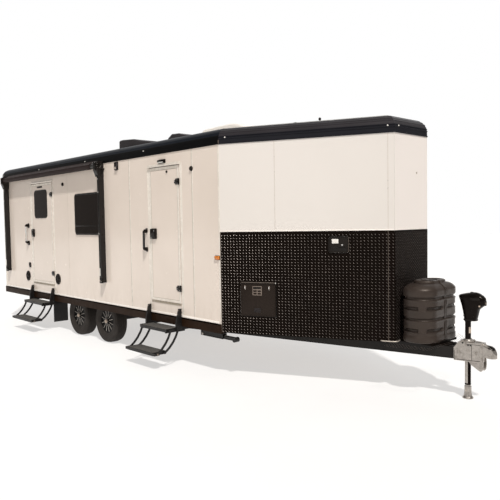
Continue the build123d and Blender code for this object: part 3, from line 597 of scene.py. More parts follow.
# a white wall behind the object, a dimmer room round it
wc = wt.nodes.new("ShaderNodeTexCoord")
dot = wt.nodes.new("ShaderNodeVectorMath")
dot.operation = "DOT_PRODUCT"
dot.inputs[1].default_value = (-0.743, 0.669, 0.02)
wt.links.new(wc.outputs["Generated"], dot.inputs[0])
wr = wt.nodes.new("ShaderNodeValToRGB")
wr.color_ramp.elements[0].position = 0.35
wr.color_ramp.elements[0].color = (0.222, 0.208, 0.196, 1)
wr.color_ramp.elements[1].position = 0.82
wr.color_ramp.elements[1].color = (1.0, 1.0, 1.0, 1)
wt.links.new(dot.outputs["Value"], wr.inputs[0])
wt.links.new(wr.outputs[0], bg.inputs["Color"])
bg.inputs["Strength"].default_value = 1.0

fm, fnt, fp = tree("pale_floor")
fnt.links.new(mixcol(fnt, ramp(fnt, noise(fnt, 0.8, 4.0), [(0.3, (0, 0, 0)), (0.7, (1, 1, 1))]),
                     (0.42, 0.415, 0.41), (0.40, 0.395, 0.39)), fp.inputs["Base Color"])
fp.inputs["Emission Color"].default_value = (1.0, 0.99, 0.98, 1)
fp.inputs["Emission Strength"].default_value = 0.57
fp.inputs["Roughness"].default_value = 0.9
fp.inputs["Specular IOR Level"].default_value = 0.1
floor_me = bpy.data.meshes.new("floor")
R = 60.0
N = 64
floor_me.from_pydata([(0, 0, -0.002)] + [(R * math.cos(2 * math.pi * i / N), R * math.sin(2 * math.pi * i / N), -0.002)
                                          for i in range(N)], [],
                     [(0, i + 1, (i + 1) % N + 1) for i in range(N)])
floor_me.materials.append(fm)
floor = bpy.data.objects.new("floor", floor_me)
scene.collection.objects.link(floor)


def area(name, where, target, size, power, colour=(1, 1, 1)):
    d = bpy.data.lights.new(name, "AREA")
    d.shape = "DISK"
    d.size = size
    d.energy = power
    d.color = colour
    o = bpy.data.objects.new(name, d)
    o.location = where
    o.rotation_euler = (Vector(target) - Vector(where)).to_track_quat("-Z", "Y").to_euler()
    scene.collection.objects.link(o)
    return o


sun_data = bpy.data.lights.new("key", "SUN")
sun_data.energy = 3.2
sun_data.angle = math.radians(3)
sun_data.color = (1.0, 0.975, 0.94)
sun = bpy.data.objects.new("key", sun_data)
sun.rotation_euler = Vector((-0.49, 0.309, -0.815)).to_track_quat("-Z", "Y").to_euler()
scene.collection.objects.link(sun)
area("fill", (5.0, -11.5, 5.0), (0, 0, 1.4), 7.0, 130, (1.0, 0.96, 0.92))
area("back", (-7.0, 11.0, 6.0), (0, 0, 1.4), 8.0, 170, (1.0, 0.99, 0.97))

# ---------------------------------------------------------------- materials on the CAD nodes
for names, key in (
    (("right_side_wall", "left_side_wall", "front_entry_door", "rear_entry_door", "ramp_door"), "white"),
    # painted light: darker white copy on the nose faces, lighter one on the front face
    (("right_nose_wall", "left_nose_wall"), "white_nose_shaded"),
    (("front_wall",), "white_front_lit"),
    (("rear_door_frame",), "white_frame"),
    (("nose_guard_plate", "tongue_deck"), "plate"),
    (("roof_panel",), "roof"),
    (("floor_deck",), "ply"),
    (("lower_rails",), "bronze"),
    (("frame_rails", "cross_members", "axles", "tongue_beams"), "frame"),
    (("front_right_rim", "front_left_rim", "rear_right_rim", "rear_left_rim"), "alloy"),
    (("mud_flaps",), "rubber"),
    (("stabiliser_housings", "right_stabiliser_leg", "left_stabiliser_leg", "upper_steps", "front_step_outer_arms",
      "rear_step_outer_arms", "front_step_inner_arms", "rear_step_inner_arms", "front_lower_step",
      "rear_lower_step"), "steel"),
    (("propane_cover",), "cover"),
    (("coupler", "jack_leg"), "zinc"),
    (("jack_post", "front_door_hardware", "rear_door_hardware", "grab_handles"), "gloss"),
    (("rear_air_conditioner", "roof_vent_hood"), "shroud_black"),
    (("front_air_conditioner",), "shroud_white"),
    (("rear_door_window", "right_window", "left_windows"), "glass"),
    (("awning_roller",), "roll"),
    (("awning_arms",), "arm"),
    (("storage_hatch",), "hatch"),
    (("cable_hatch",), "plastic"),
    (("front_right_tyre", "front_left_tyre", "rear_right_tyre", "rear_left_tyre"), "tyre"),
    (("roof_trim",), "trim"),
):
    paint(names, key)


# ---------------------------------------------------------------- roof edge
def trim_d(z, drop=0.0):
    """How far the roof edge stands out of the wall at a height."""
    if z <= 2815:
        return 8.0 - drop
    t = math.asin(min((z - 2815) / 150.0, 1.0))
    return 8.0 - drop - 150 * (1 - math.cos(t)) if drop == 0 else 8.0 - 150 + (150 - drop) * math.cos(t)


def arc_z(z0, z1, n):
    t0, t1 = (math.asin(max(min((z - 2815) / 150, 1), 0)) for z in (z0, z1))
    return [2815 + 150 * math.sin(t0 + (t1 - t0) * i / n) for i in range(n + 1)]


SIDE_LOWER = [(-46, 2763), (8, 2763), (8, 2773), (3.5, 2776.5), (3.5, 2815)] + \
    [(trim_d(z, 4.5), z) for z in arc_z(2815, 2858, 3)] + \
    [(trim_d(2862), 2862), (trim_d(2870), 2870), (-46, 2870)]
SIDE_UPPER = [(-46, 2870), (trim_d(2870, 2), 2870), (trim_d(2873, 3), 2873)] + \
    [(trim_d(z, 3), z) for z in arc_z(2876, 2896, 2)] + [(trim_d(2899), 2899)] + \
    [(trim_d(z), z) for z in arc_z(2903, 2961, 9)] + [(-140, 2964.9), (-146, 2964.9), (-146, 2925), (-46, 2900)]
RIBS = ((2763, 2775), (2822, 2832), (2848, 2855), (2893, 2903), (2920, 2928), (2944, 2950))
NOSE_PROFILE = [(-46, 2763)]
for k, (z0, z1) in enumerate(RIBS):
    NOSE_PROFILE += [(trim_d(z0, 0 if k == 0 else 0), z0), (trim_d(z1), z1)]
    if k + 1 < len(RIBS):
        zs = arc_z(z1 + 3, RIBS[k + 1][0] - 3, 3) if z1 > 2812 else [z1 + 3, 2800, 2812, RIBS[k + 1][0] - 3]
        NOSE_PROFILE += [(trim_d(z, 5), z) for z in zs]
NOSE_PROFILE += [(-140, 2964.9), (-146, 2964.9), (-146, 2925), (-46, 2880)]


def ring_sweep(B, profile, k, key, fwd=0.0):
    """Skins a profile of (outset, z) along side k of the plan outline, mitred."""
    ends = []
    for corner in (k, (k + 1) % 6):
        ends.append([inset(OUT, -d)[corner] + (z,) for d, z in profile])
    a, b = ends
    mid = []
    for t in (0.0, 1.0):
        mid.append([W(*(a[i][j] + (b[i][j] - a[i][j]) * t for j in range(3))) for i in range(len(profile))])
    B.loops(mid, key)


B = Build()
for k in (0, 4, 5):
    ring_sweep(B, SIDE_LOWER, k, "band")
    ring_sweep(B, SIDE_UPPER, k, "trim")
cut = max(i for i, (d, z) in enumerate(NOSE_PROFILE) if 2700 < z < 2862)
LOWP = NOSE_PROFILE[:cut + 1] + [(-46, NOSE_PROFILE[cut][1])]
UPP = [(-46, NOSE_PROFILE[cut][1])] + NOSE_PROFILE[cut:]
# painted light: the nose's roof edge is drawn in lighter copies of the side edge's two tones
for k in (1, 2, 3):
    ring_sweep(B, LOWP, k, "trim_nose_lower_lit")
    ring_sweep(B, UPP, k, "trim_nose_upper_lit")
edge = B.done("roof_edge_profile", "trailer", 28)
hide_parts("roof_trim")

# bright rivets and joint covers of the roof trim
B = Build()
for F, spots in ((RIGHT, (43, 1705, 3393, 5043)), (LEFT, (43, 1705, 3393, 5043, 6560)),
                 (NOSE_R, (81, 1934)), (NOSE_L, (81, 1934)), (FRONT, (-250,)),
                 (REAR, (-1000, 0, 1000))):
    for a in spots:
        B.screw(F, a, 2839, trim_d(2839) - 3.6, 9, 4.8, "label", 12)
for F, a in ((RIGHT, SIDE - 2), (NOSE_R, 2), (NOSE_L, 2), (LEFT, SIDE - 2)):
    B.box(F, a - 2, a + 2, 2764, 2812, 6.0, 8.0, "dull", 0, 0.5)
B.done("roof_edge_rivets", "trailer")


# ---------------------------------------------------------------- diamond plate
def bars(B, F, s0, s1, z0, z1, clear, c=4.8, second="stud_shaded"):
    da, dz = 38.8, 34.5
    rows = int((z1 - z0) / dz) + 1
    cols = int((s1 - s0) / da) + 1
    # painted light: bars of one direction take the bright glint finish, the crossing bars a darker shaded one (a
    # lighter one on the front face)
    for half in (0, 1):
        for i in range(cols + 1):
            for j in range(rows + 1):
                s = s0 + 9 + da * (i + 0.5 * half)
                z = z0 + 12 + dz * (j + 0.5 * half)
                if s > s1 - 9 or z > z1 - 9:
                    continue
                if any(a0 - 11 < s < a1 + 11 and b0 - 10 < z < b1 + 10 for a0, a1, b0, b1 in clear):
                    continue
                t = math.radians(42 if half else -42)
                ca, sa = math.cos(t), math.sin(t)
                ls = (-12.5, 0), (-5.5, -3.5), (5.5, -3.5), (12.5, 0), (5.5, 3.5), (-5.5, 3.5)
                top = (-7, 0), (7, 0)
                vs = [F(s + x * ca - y * sa, z + x * sa + y * ca, c) for x, y in ls]
                vs += [F(s + x * ca - y * sa, z + x * sa + y * ca, c + 2.8) for x, y in top]
                B.add(vs, [(0, 1, 6), (1, 2, 7, 6), (2, 3, 7), (3, 4, 7), (4, 5, 6, 7), (5, 0, 6),
                           (5, 4, 3, 2, 1, 0)], second if half else "stud_wear_and_glint")


STORE = (244, 684, 742, 1152)
CABLE = (1293, 1515, 1486, 1674)
B = Build()
bars(B, NOSE_R, 8, 1932, 538, 1727, (STORE, CABLE, (1845, 1940, 500, 552)))
bars(B, NOSE_R, 1938, NOSE_LEN - 2, 538, 1727, ())
B.done("tread_bars_right", "trailer", 20, False)
B = Build()
bars(B, NOSE_L, 8, 1932, 538, 1727, ())
bars(B, NOSE_L, 1938, NOSE_LEN - 2, 538, 1727, ())
bars(B, FRONT, -FLAT / 2 + 4, FLAT / 2 - 2, 538, 1727, (), 4.8, "stud_front_lit")
B.done("tread_bars_front_left", "trailer", 20, False)

# seams, corner strips and sealed edges of the nose
B = Build()
for F in (NOSE_R, NOSE_L):
    B.box(F, 677, 681, 1731, 2762, -0.5, 0.9, "silver", 0, 0.4)
    B.box(F, 1932, 1936, 1731, 2762, -0.5, 0.9, "silver", 0, 0.4)
    B.box(F, 1933, 1936.4, 537, 1729, 4.5, 6.4, "dull", 0, 0.8)
    B.box(F, 2, NOSE_LEN - 2, 1733, 1748, -0.5, 2.2, "edge_white", 0, 0.8)
    B.box(F, 1, 5, 537, 1729, 4.6, 6.4, "dull", 0, 0.8)
    B.box(F, 2, NOSE_LEN - 2, 1727, 1731, -0.5, 5.6, "hatch", 0, 1.0)
B.box(FRONT, -FLAT / 2 + 2, FLAT / 2 - 2, 1727, 1731, -0.5, 5.6, "hatch", 0, 1.0)
B.box(FRONT, -FLAT / 2 + 2, FLAT / 2 - 2, 1733, 1748, -0.5, 2.2, "edge_white", 0, 0.8)
for x, y in ((SIDE + NOSE, -FLAT / 2), (SIDE + NOSE, FLAT / 2)):
    pts = [W(x, y, z) for z in (1732, 2000, 2400, 2762)]
    B.tube(pts, 3.0, "white_nose_shaded", 8)
B.done("nose_seams", "trailer")

# ---------------------------------------------------------------- side wall seams
B = Build()
for F, xs in ((RIGHT, (4658, 6091)), (LEFT, (1250, 2500, 3750, 5000, 6091))):
    for x in xs:
        B.box(F, x - 2, x + 2, 640, 2762, -0.5, 0.9, "sill", 0, 0.4)
        B.box(F, x + 3, x + 24, 640, 2762, -0.5, 0.7, "white_frame", 0, 0.4)
for x in (3920, 2760):
    B.box(RIGHT, x - 1.5, x + 1.5, 640, 2762, -0.5, 0.6, "sill", 0, 0.3)
# edge moulding at the nose corner and rear corner, both sides
for F in (RIGHT, LEFT):
    B.box(F, SIDE - 26, SIDE - 1, 636, 2762, -0.5, 1.4, "white_frame", 0, 0.7)
    B.box(F, 3, 60, 636, 2762, -0.5, 3.0, "white_frame", 0, 1.4)
    for z in range(700, 2740, 150):
        B.screw(F, 32, z, 3, 4.5, 2.0, "white_frame", 8)
B.done("side_wall_seams", "trailer")

# ---------------------------------------------------------------- bronze rails
B = Build()
for F in (RIGHT, LEFT):
    s = 8.0
    B.box(F, 62, 6592, 614, 629, s - 0.5, s, "bronze", 0, 0.2)
    B.box(F, 62, 6574, 633, 662, -0.5, 3.2, "edge_white", 0, 1.2)
    for x in range(150, 6560, 305):
        if not any(a < x < b for a, b in ((1290, 1360), (2140, 2200), (5100, 5170), (5800, 5850))):
            B.screw(F, x, 604, s - 1.2, 5, 1.2, "bronze", 8)
B.done("rail_beads", "trailer")


# ---------------------------------------------------------------- entry doors
def door(name, body, x0, x1, gutter, window):
    """Fixed surround on the wall, and what rides on the leaf."""
    B = Build()
    j0, j1 = x0 - 46, x1 + 58
    top = 2600
    # jamb: two flat extrusions with a raised bead, joined above
    for a, b in ((j0, x0 - 5), (x1 + 16, j1)):
        B.box(RIGHT, a, b, 640, 2612, -0.5, 1.4, "white_frame", 0, 0.7)
        B.box(RIGHT, a, a + 7, 640, 2612, 1.0, 3.4, "white_frame", 0, 1.2)
    B.box(RIGHT, x0 - 5, x1 + 16, 2600, 2612, -0.5, 2.0, "white_frame", 0, 0.7)
    # rubber seen in the gap round the leaf
    for a, b, c, d in ((x0 - 4.6, x0 - 1.2, 806, 2589), (x1 + 1.0, x1 + 3.4, 806, 2589),
                       (x0 - 4, x1 + 3, 2589.6, 2592.6)):
        B.box(RIGHT, a, b, c, d, -14, -4, "rubber", 0, 0.8)
    # drip gutter: a channel with a turned-up lip and downturned ends
    g0, g1, gz = gutter
    prof = [(0, gz + 34), (0, gz - 2), (9, gz - 6), (22, gz - 5), (25, gz), (25, gz + 12), (23, gz + 12),
            (22, gz + 1), (8, gz), (4, gz + 6), (3, gz + 34)]
    rings = [[RIGHT(a, z + dz, c * k) for c, z in prof] for a, k, dz in
             ((g0, 0.3, -3), (g0 + 14, 0.85, 0), (g0 + 30, 1, 0), (g1 - 30, 1, 0), (g1 - 14, 0.85, 0), (g1, 0.3, -3))]
    B.loops(rings, "white_frame")
    # threshold
    B.slab(RIGHT, rect(x0 + 8, x1 - 4, 776, 802, 3), -0.5, 5.5, "sill", 1.4)
    B.box(RIGHT, x0 + 8, x1 - 4, 797, 801, 5, 12, "sill", 0, 1.2)
    for x in range(int(x0) + 60, int(x1) - 30, 130):
        B.screw(RIGHT, x, 787, 5.2, 4, 1.6, "bright", 8)
    B.done(name + "_surround", "trailer")

    B = Build()
    # leaf: a flat perimeter extrusion round a pressed skin
    B.frame_ring(RIGHT, x0 + 1, x1 - 1, 806, 2587, 34, 2.6, 4.6, "white_frame", 26, 0.8)
    B.frame_ring(RIGHT, x0 + 35, x1 - 35, 840, 2553, 5, 2.6, 3.5, "sill", 8, 0.3)
    # hinge straps: rounded plates with a raised spine and screws
    for z in (1000, 2378):
        pts = [(x1 - 96, z - 12), (x1 - 88, z - 22), (x1 - 40, z - 34), (x1 - 4, z - 44), (x1 - 4, z + 44),
               (x1 - 40, z + 34), (x1 - 88, z + 22), (x1 - 96, z + 12)]
        B.slab(RIGHT, pts, 2.8, 10, "gloss", 2.4)
        B.slab(RIGHT, [(x1 - 70, z - 8), (x1 - 2, z - 15), (x1 - 2, z + 15), (x1 - 70, z + 8)], 9, 17, "gloss", 3.0)
        for a, b in ((x1 - 80, z), (x1 - 30, z - 24), (x1 - 30, z + 24)):
            B.screw(RIGHT, a, b, 9.5, 5, 2.5, "bright", 10)
    # latch: bezel, paddle, key cylinder
    lz0, lz1 = 1634, 1778
    lx0, lx1 = (x0 + 15, x0 + 111) if window else (x0 + 23, x0 + 153)
    B.slab(RIGHT, rect(lx0, lx1, lz0, lz1, 20), 2.8, 9.5, "plastic", 3)
    B.slab(RIGHT, rect(lx0 + 8, lx1 - 8, lz0 + 8, lz1 - 8, 14), 9, 31, "gloss", 6)
    B.slab(RIGHT, rect(lx0 + 20, lx1 - 16, lz0 + 36, lz1 - 22, 8), 30, 36, "gloss", 2.5)
    B.lathe(RIGHT.at(lx0 + 30, lz0 + 24, 0), [(9, 30), (9, 34), (7, 35), (6.8, 33.5), (1.2, 33.5)], "bright", 18)
    B.lathe(RIGHT.at(lx1 - 26, lz1 - 28, 0), [(7, 35), (7, 37.4), (5, 38)], "bright", 16)
    if window:
        w0, w1, z0, z1 = window
        B.frame_ring(RIGHT, w0 - 2, w1 + 2, z0 - 2, z1 + 2, 16, 2.8, 10.5, "gloss", 71, 2.2)
        B.frame_ring(RIGHT, w0 + 12, w1 - 12, z0 + 12, z1 - 12, 4, 8.6, 9.4, "rubber", 58, 0.4)
        # small dark vent over the window
        B.box(RIGHT, 1604, 1806, 2512, 2542, 2.8, 6.5, "plastic", 5, 1.5)
        for i in range(6):
            B.box(RIGHT, 1614 + 31 * i, 1638 + 31 * i, 2517, 2537, 6, 8.2, "plastic", 2, 0.9)
    # catch stub near the leaf's top
    if not window:
        B.lathe(RIGHT.at(x0 + 408, 2519, 0), [(17, 2.8), (17, 6), (12, 8), (11, 12), (13, 13), (13, 15), (9, 16)],
                "plastic", 18)
    B.done(name + "_fittings", body)

    # inside face of the leaf: frame and a pull
    B = Build()
    IN = Frame((0, -1174, 0), (1, 0, 0), (0, 0, 1), (0, 1, 0))
    B.frame_ring(IN, x0 + 6, x1 - 6, 811, 2582, 40, -0.5, 2.2, "white_frame", 6, 1)
    B.box(IN, lx0, lx1, lz0 + 20, lz1 - 20, -0.5, 3.0, "plastic", 10, 1.2)
    B.done(name + "_inner_trim", body)


door("front_entry", "front_entry_door", 5168, 5832, (5138, 5862, 2602), None)
door("rear_entry", "rear_entry_door", 1335, 2185, (1351, 2235, 2604), (1472, 1990, 1973, 2473))

# ---------------------------------------------------------------- right side fittings
B = Build()
# porch light: curved lens on a black base
B.slab(RIGHT, rect(5392, 5552, 2636, 2690, 14), -0.5, 8, "plastic", 3)
B.slab(RIGHT, rect(5400, 5544, 2642, 2682, 10), 7, 34, "gloss", 9)
B.slab(RIGHT, rect(5412, 5532, 2640, 2656, 5), 12, 36, "clear", 3)
# wall catch with its keeper
for x, z in ((6090, 2521), (2608, 2525)):
    B.lathe(RIGHT.at(x, z, 0), [(31, -0.5), (31, 5), (29, 9), (26, 16), (22, 20), (16, 22), (11, 20), (4, 19)],
            "plastic", 24)
# weather cover over the outlet
B.slab(RIGHT, rect(4296, 4380, 2630, 2756, 9), -0.5, 10, "plastic", 3)
B.slab(RIGHT, rect(4304, 4372, 2638, 2748, 7), 9, 30, "shroud_black", 6)
B.slab(RIGHT, rect(4316, 4360, 2688, 2740, 5), 29, 32, "gloss", 1)
B.slab(RIGHT, rect(4316, 4360, 2648, 2680, 5), 29, 32, "silver", 1)
# amber marker
B.slab(RIGHT, rect(6514, 6606, 1399, 1451, 7), -0.5, 6, "rubber", 2)
B.slab(RIGHT, rect(6519, 6601, 1404, 1446, 6), 5, 20, "amber", 6)
# inlet beside the rear door
B.slab(RIGHT, rect(1150, 1224, 1060, 1154, 8), -0.5, 7, "plastic", 2)
B.slab(RIGHT, rect(1156, 1218, 1066, 1148, 6), 6, 17, "shroud_black", 4)
B.lathe(RIGHT.at(1187, 1118, 0), [(20, 16), (20, 20), (16, 22), (15, 19), (2, 19)], "gloss", 20)
B.lathe(RIGHT.at(1187, 1083, 0), [(9, 16), (9, 19), (6, 21)], "bright", 14)
# round speakers
for x, z in ((1094, 899), (2330, 909)):
    B.lathe(RIGHT.at(x, z, 0), [(93, -0.5), (93, 6), (89, 11), (80, 13), (74, 9), (70, 5), (20, 9), (2, 10)],
            "plastic", 40)
    for i in range(5):
        r = 24 + 11 * i
        ring = [(r * math.cos(2 * math.pi * k / 36), r * math.sin(2 * math.pi * k / 36)) for k in range(36)]
        B.tube([RIGHT(x + a, z + b, 9.5) for a, b in ring], 2.2, "gloss", 6, close=True)
    for k in range(12):
        t = math.radians(30 * k)
        B.tube([RIGHT(x + r * math.cos(t), z + r * math.sin(t), 10.5) for r in (14, 44, 76)], 2.6, "plastic", 6)
    B.lathe(RIGHT.at(x, z, 0), [(22, 8), (22, 12), (14, 15), (2, 16)], "plastic", 24)
    for k in range(4):
        t = math.radians(45 + 90 * k)
        B.screw(RIGHT, x + 86 * math.cos(t), z + 86 * math.sin(t), 11, 3.5, 2, "bright", 8)
B.done("right_wall_fittings", "trailer")


def window(B, F, w0, w1, z0, z1, r, split=False):
    B.frame_ring(F, w0 - 2, w1 + 2, z0 - 2, z1 + 2, 18, 1.0, 7.9, "gloss", r + 2, 2)
    B.frame_ring(F, w0 + 17, w1 - 17, z0 + 17, z1 - 17, 5, 6.8, 7.6, "rubber", r - 17, 0.4)
    if split:
        m = (w0 + w1) / 2
        B.box(F, m - 9, m + 9, z0 + 18, z1 - 18, 6.5, 7.9, "gloss", 0, 0.6)
        B.box(F, w0 + 20, w1 - 20, z0 + 118, z0 + 130, 6.5, 7.9, "gloss", 0, 0.6)


B = Build()
B.frame_ring(RIGHT, 3018, 3792, 1680, 2342, 18, 2.0, 13.5, "gloss", 62, 2.2)
B.frame_ring(RIGHT, 3036, 3774, 1698, 2324, 5, 9.5, 10.6, "rubber", 44, 0.4)
B.box(RIGHT, 3035, 3775, 1818, 1828, 9.5, 12, "gloss", 0, 0.8)
window(B, LEFT, 3020, 3790, 1682, 2340, 60, True)
window(B, LEFT, 1250, 1950, 1850, 2340, 60)
B.done("window_frames", "trailer")

# ---------------------------------------------------------------- awning
B = Build()
# rolled cloth, its winding edge, and the bare tube at the front end
CY, CZ, CR = -1305.0, 2727.0, 44.0
AX = Frame((0, CY, CZ), (0, 1, 0), (0, 0, 1), (1, 0, 0))
prof = [(20, 316), (CR - 3, 316)]
x = 320
k = 0
while x < 3740:
    prof.append((CR - 0.4 - 1.1 * (0.5 + 0.5 * math.sin(k * 1.7 + 0.6 * math.sin(k * 0.37))), x))
    x += 95
    k += 1
prof += [(CR - 1.0, 3740), (CR - 3.2, 3744), (34, 3745)]
B.lathe(AX, prof, "roll", 40)
B.lathe(AX, [(34, 3744), (34, 3800), (36, 3802), (36, 3830), (33, 3832), (33, 3871)], "arm", 32)
B.lathe(AX, [(40, 3836), (41, 3838), (41, 3856), (40, 3858), (30, 3858)], "gloss", 32)
# hem of the cloth along the roll
for t in (0.0,):
    a = math.radians(205)
    pts = [W(x, CY + 42.6 * math.cos(a), CZ + 42.6 * math.sin(a)) for x in range(322, 3742, 190)]
    B.tube(pts, 3.2, "roll", 8)
roll = B.done("awning_cloth_roll", "trailer", 40)
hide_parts("awning_roller")

B = Build()
# weather strip from the wall rail over the roll, one thin bent sheet
pts = [(-1227.5, 2818), (-1240, 2806), (-1262, 2792)] + \
    [(CY + 48 * math.cos(math.radians(t)), CZ + 48 * math.sin(math.radians(t))) for t in (70, 90, 110, 130, 150)]
back = [(y + (1.2 if i < 3 else -0.9), z - 1.8) for i, (y, z) in enumerate(pts)]
ring = pts + back[::-1]
B.loops([[W(x, y, z) for y, z in ring] for x in (318, 3740)], "roll")
B.done("awning_weather_strip", "trailer", 40)

B = Build()
for x0, x1 in ((229, 289), (3897, 3957)):
    # channel lips and centre rib on the outer face, rear of them the inner arm
    for a, b in ((x0, x0 + 9), (x0 + 24, x0 + 34), (x1 - 9, x1)):
        B.box(RIGHT, a, b, 962, 2558, 79, 84, "arm", 0, 1.6)
    B.box(RIGHT, x0 + 10, x0 + 23, 968, 2552, 79.5, 81, "gloss", 0, 0.5)
    for z in (986, 1010, 1700, 2330, 2530):
        B.screw(RIGHT, x0 + 18, z, 82.5, 8, 3.2, "label", 10)
    # bright slot of the inner arm and the foot casting
    B.box(RIGHT, x0 + 7, x0 + 28, 1062, 1182, 82.5, 85.5, "label", 6, 1)
    B.slab(RIGHT, rect(x0 - 3, x1 + 3, 950, 1030, 8), 60, 86, "gloss", 4)
    B.bolt(RIGHT, x0 + 18, 990, 85, 8, 6, "dull")
    B.bolt(RIGHT, x1 - 16, 974, 85, 5, 4, "label")
    B.box(RIGHT, x0 - 6, x1 + 6, 962, 1000, -0.5, 14, "gloss", 3, 2)
B.done("awning_arm_details", "trailer")

B = Build()
for x0, x1, s in ((225, 313, -1), (3873, 3961, 1)):
    face = Frame((x1 if s > 0 else x0, 0, 0), (0, -1, 0) if s < 0 else (0, 1, 0), (0, 0, 1), (s, 0, 0))
    sy = 1 if s > 0 else -1
    # end cap disc over the roll's axle, ribs down the casting
    G = face.at(sy * CY, CZ, 0)
    B.lathe(G, [(46, -0.5), (46, 6), (41, 10), (34, 11), (30, 8), (14, 8), (13, 15), (9, 17)], "gloss", 32)
    for t in range(0, 360, 60):
        r = math.radians(t)
        B.screw(G, 37 * math.cos(r), 37 * math.sin(r), 10, 3.4, 2, "bright", 8)
    for yy, z0, z1 in ((-1252, 2590, 2680), (-1276, 2580, 2680), (-1300, 2592, 2684)):
        B.box(face, min(sy * (yy - 5), sy * (yy + 5)), max(sy * (yy - 5), sy * (yy + 5)), z0, z1, -0.5, 5, "gloss", 4, 2)
    # outer nose cap of the head
    B.box(RIGHT, x0 + 6, x1 - 6, 2652, 2782, 128, 140, "gloss", 10, 5)
    B.box(RIGHT, x0 + 20, x1 - 20, 2670, 2700, 139, 143, "plastic", 6, 1.5)
    B.box(RIGHT, x0 + 12, x1 - 12, 2560, 2612, 88, 104, "gloss", 8, 5)
    for a, z in ((x0 + 16, 2772), (x1 - 16, 2772), (x0 + 16, 2662), (x1 - 16, 2662)):
        B.screw(RIGHT, a, z, 139.5, 4, 2.4, "bright", 8)
# locking knob at the front head
K = Frame((3961, -1235, 2673), (0, 1, 0), (0, 0, 1), (1, 0, 0))
B.lathe(K, [(6, -0.5), (6, 10), (14, 11), (16, 15), (16, 24), (13, 28), (4, 29)], "plastic", 18)
K = Frame((225, -1240, 2640), (0, -1, 0), (0, 0, 1), (-1, 0, 0))
B.lathe(K, [(6, -0.5), (6, 10), (14, 11), (16, 15), (16, 24), (13, 28), (4, 29)], "plastic", 18)
B.done("awning_head_details", "trailer")

# grab handles: feet with screws; the front one a single bent bar, the rear one on two cast brackets
B = Build()
for x, zs, r in ((5076, (1488, 1752), 15), (1160, (1520, 1856), 15)):
    for z in zs:
        B.slab(RIGHT, rect(x - 22, x + 22, z - 30, z + 30, 12), -0.5, 9, "plastic", 3)
        B.slab(RIGHT, rect(x - 13, x + 13, z - 15, z + 15, 9), 8, 46, "plastic", 5)
        for dz in (-21, 21):
            B.screw(RIGHT, x, z + dz, 8.5, 5, 2.4, "bright", 8)
    B.tube([W(x, -1271, z) for z in (zs[0] + 22, zs[0] + 26, zs[1] - 26, zs[1] - 22)], 16.5,
           "rubber" if x > 3000 else "clear", 14)
    for z in (zs[0] + 24, zs[1] - 24):
        B.tube([W(x, -1271, z - 9), W(x, -1271, z + 9)], 17.2, "plastic", 14)
# the rear handle's brackets are large shaped castings
for z in (1525, 1847):
    B.slab(RIGHT, [(1112, z - 34), (1140, z - 50), (1182, z - 50), (1210, z - 34), (1210, z + 10), (1182, z + 34),
                   (1140, z + 34), (1112, z + 10)], -0.5, 6, "plastic", 2.5)
B.done("grab_handle_details", "trailer")

# ---------------------------------------------------------------- entry steps
STEPS = {"front": (5123.0, 5837.0), "rear": (1310.0, 2180.0)}


def tread(B, x0, x1, y0, y1, z):
    """Gritted strips and a rolled nosing over a tread."""
    n = 5
    w = (y1 - y0 - 16) / n
    for i in range(n):
        B.box(GROUND, x0 + 8, x1 - 8, y0 + 8 + i * w + 2, y0 + 8 + (i + 1) * w - 2, z - 0.5, z + 2.4, "grip", 4, 1.1)
    for yy in (y0 + 4.5, y1 - 4.5):
        B.tube([W(x, yy, z - 3) for x in (x0 + 1, x0 + 40, x1 - 40, x1 - 1)], 4.5, "steel", 10)
    for x in (x0 + 3.5, x1 - 3.5):
        B.box(GROUND, x - 4, x + 4, y0, y1, z - 1, z + 3, "steel", 2, 1)


B = Build()
for x0, x1 in STEPS.values():
    tread(B, x0 + 61, x1 - 61, -1435, -1225, 490)
    for s, xa in ((-1, x0), (1, x1)):
        # hanger plate: bolts and pivot caps
        S = Frame((xa, 0, 0), (0, s, 0), (0, 0, 1), (s, 0, 0))
        for y, z in ((-1236, 700), (-1240, 640), (-1244, 560), (-1262, 500)):
            B.bolt(S, s * y, z, 0, 8, 6, "steel")
        S2 = Frame((x0 + 30 if s < 0 else x1 - 30, 0, 0), (0, s, 0), (0, 0, 1), (s, 0, 0))
        B.lathe(S2.at(s * -1385, 471, 0), [(13, -0.2), (13, 5), (10, 7.5), (4, 8)], "dull", 16)
        # wall face of the hanger
        a0 = x0 + 2 if s < 0 else x1 - 28
        for z in (722, 672):
            B.bolt(Frame((0, -1219 - 9, 0), (1, 0, 0), (0, 0, 1), (0, -1, 0)), a0 + 13, z, 33 + (742 - z) * 0.27, 7, 6,
                   "dull")
    # slide rails under the upper tread
    for xa in (x0 + 84, x1 - 84):
        B.box(GROUND, xa - 9, xa + 9, -1430, -1228, 438, 453, "steel", 0, 2, both=True)
B.done("upper_step_details", "trailer")
for name, (x0, x1) in STEPS.items():
    B = Build()
    tread(B, x0 + 61, x1 - 61, -1650, -1440, 222)
    for s, xa in ((-1, x0 + 22), (1, x1 - 22)):
        S = Frame((xa, 0, 0), (0, s, 0), (0, 0, 1), (s, 0, 0))
        B.lathe(S.at(s * -1600, 203, 0), [(12, -0.2), (12, 4), (9, 6), (4, 6.5)], "dull", 16)
    for xa in (x0 + 100, x1 - 100):
        B.bolt(Frame((0, -1650, 0), (1, 0, 0), (0, 0, 1), (0, -1, 0)), xa, 203, -1.2, 7, 1.2, "bright")
    B.done(name + "_lower_step_details", name + "_lower_step")

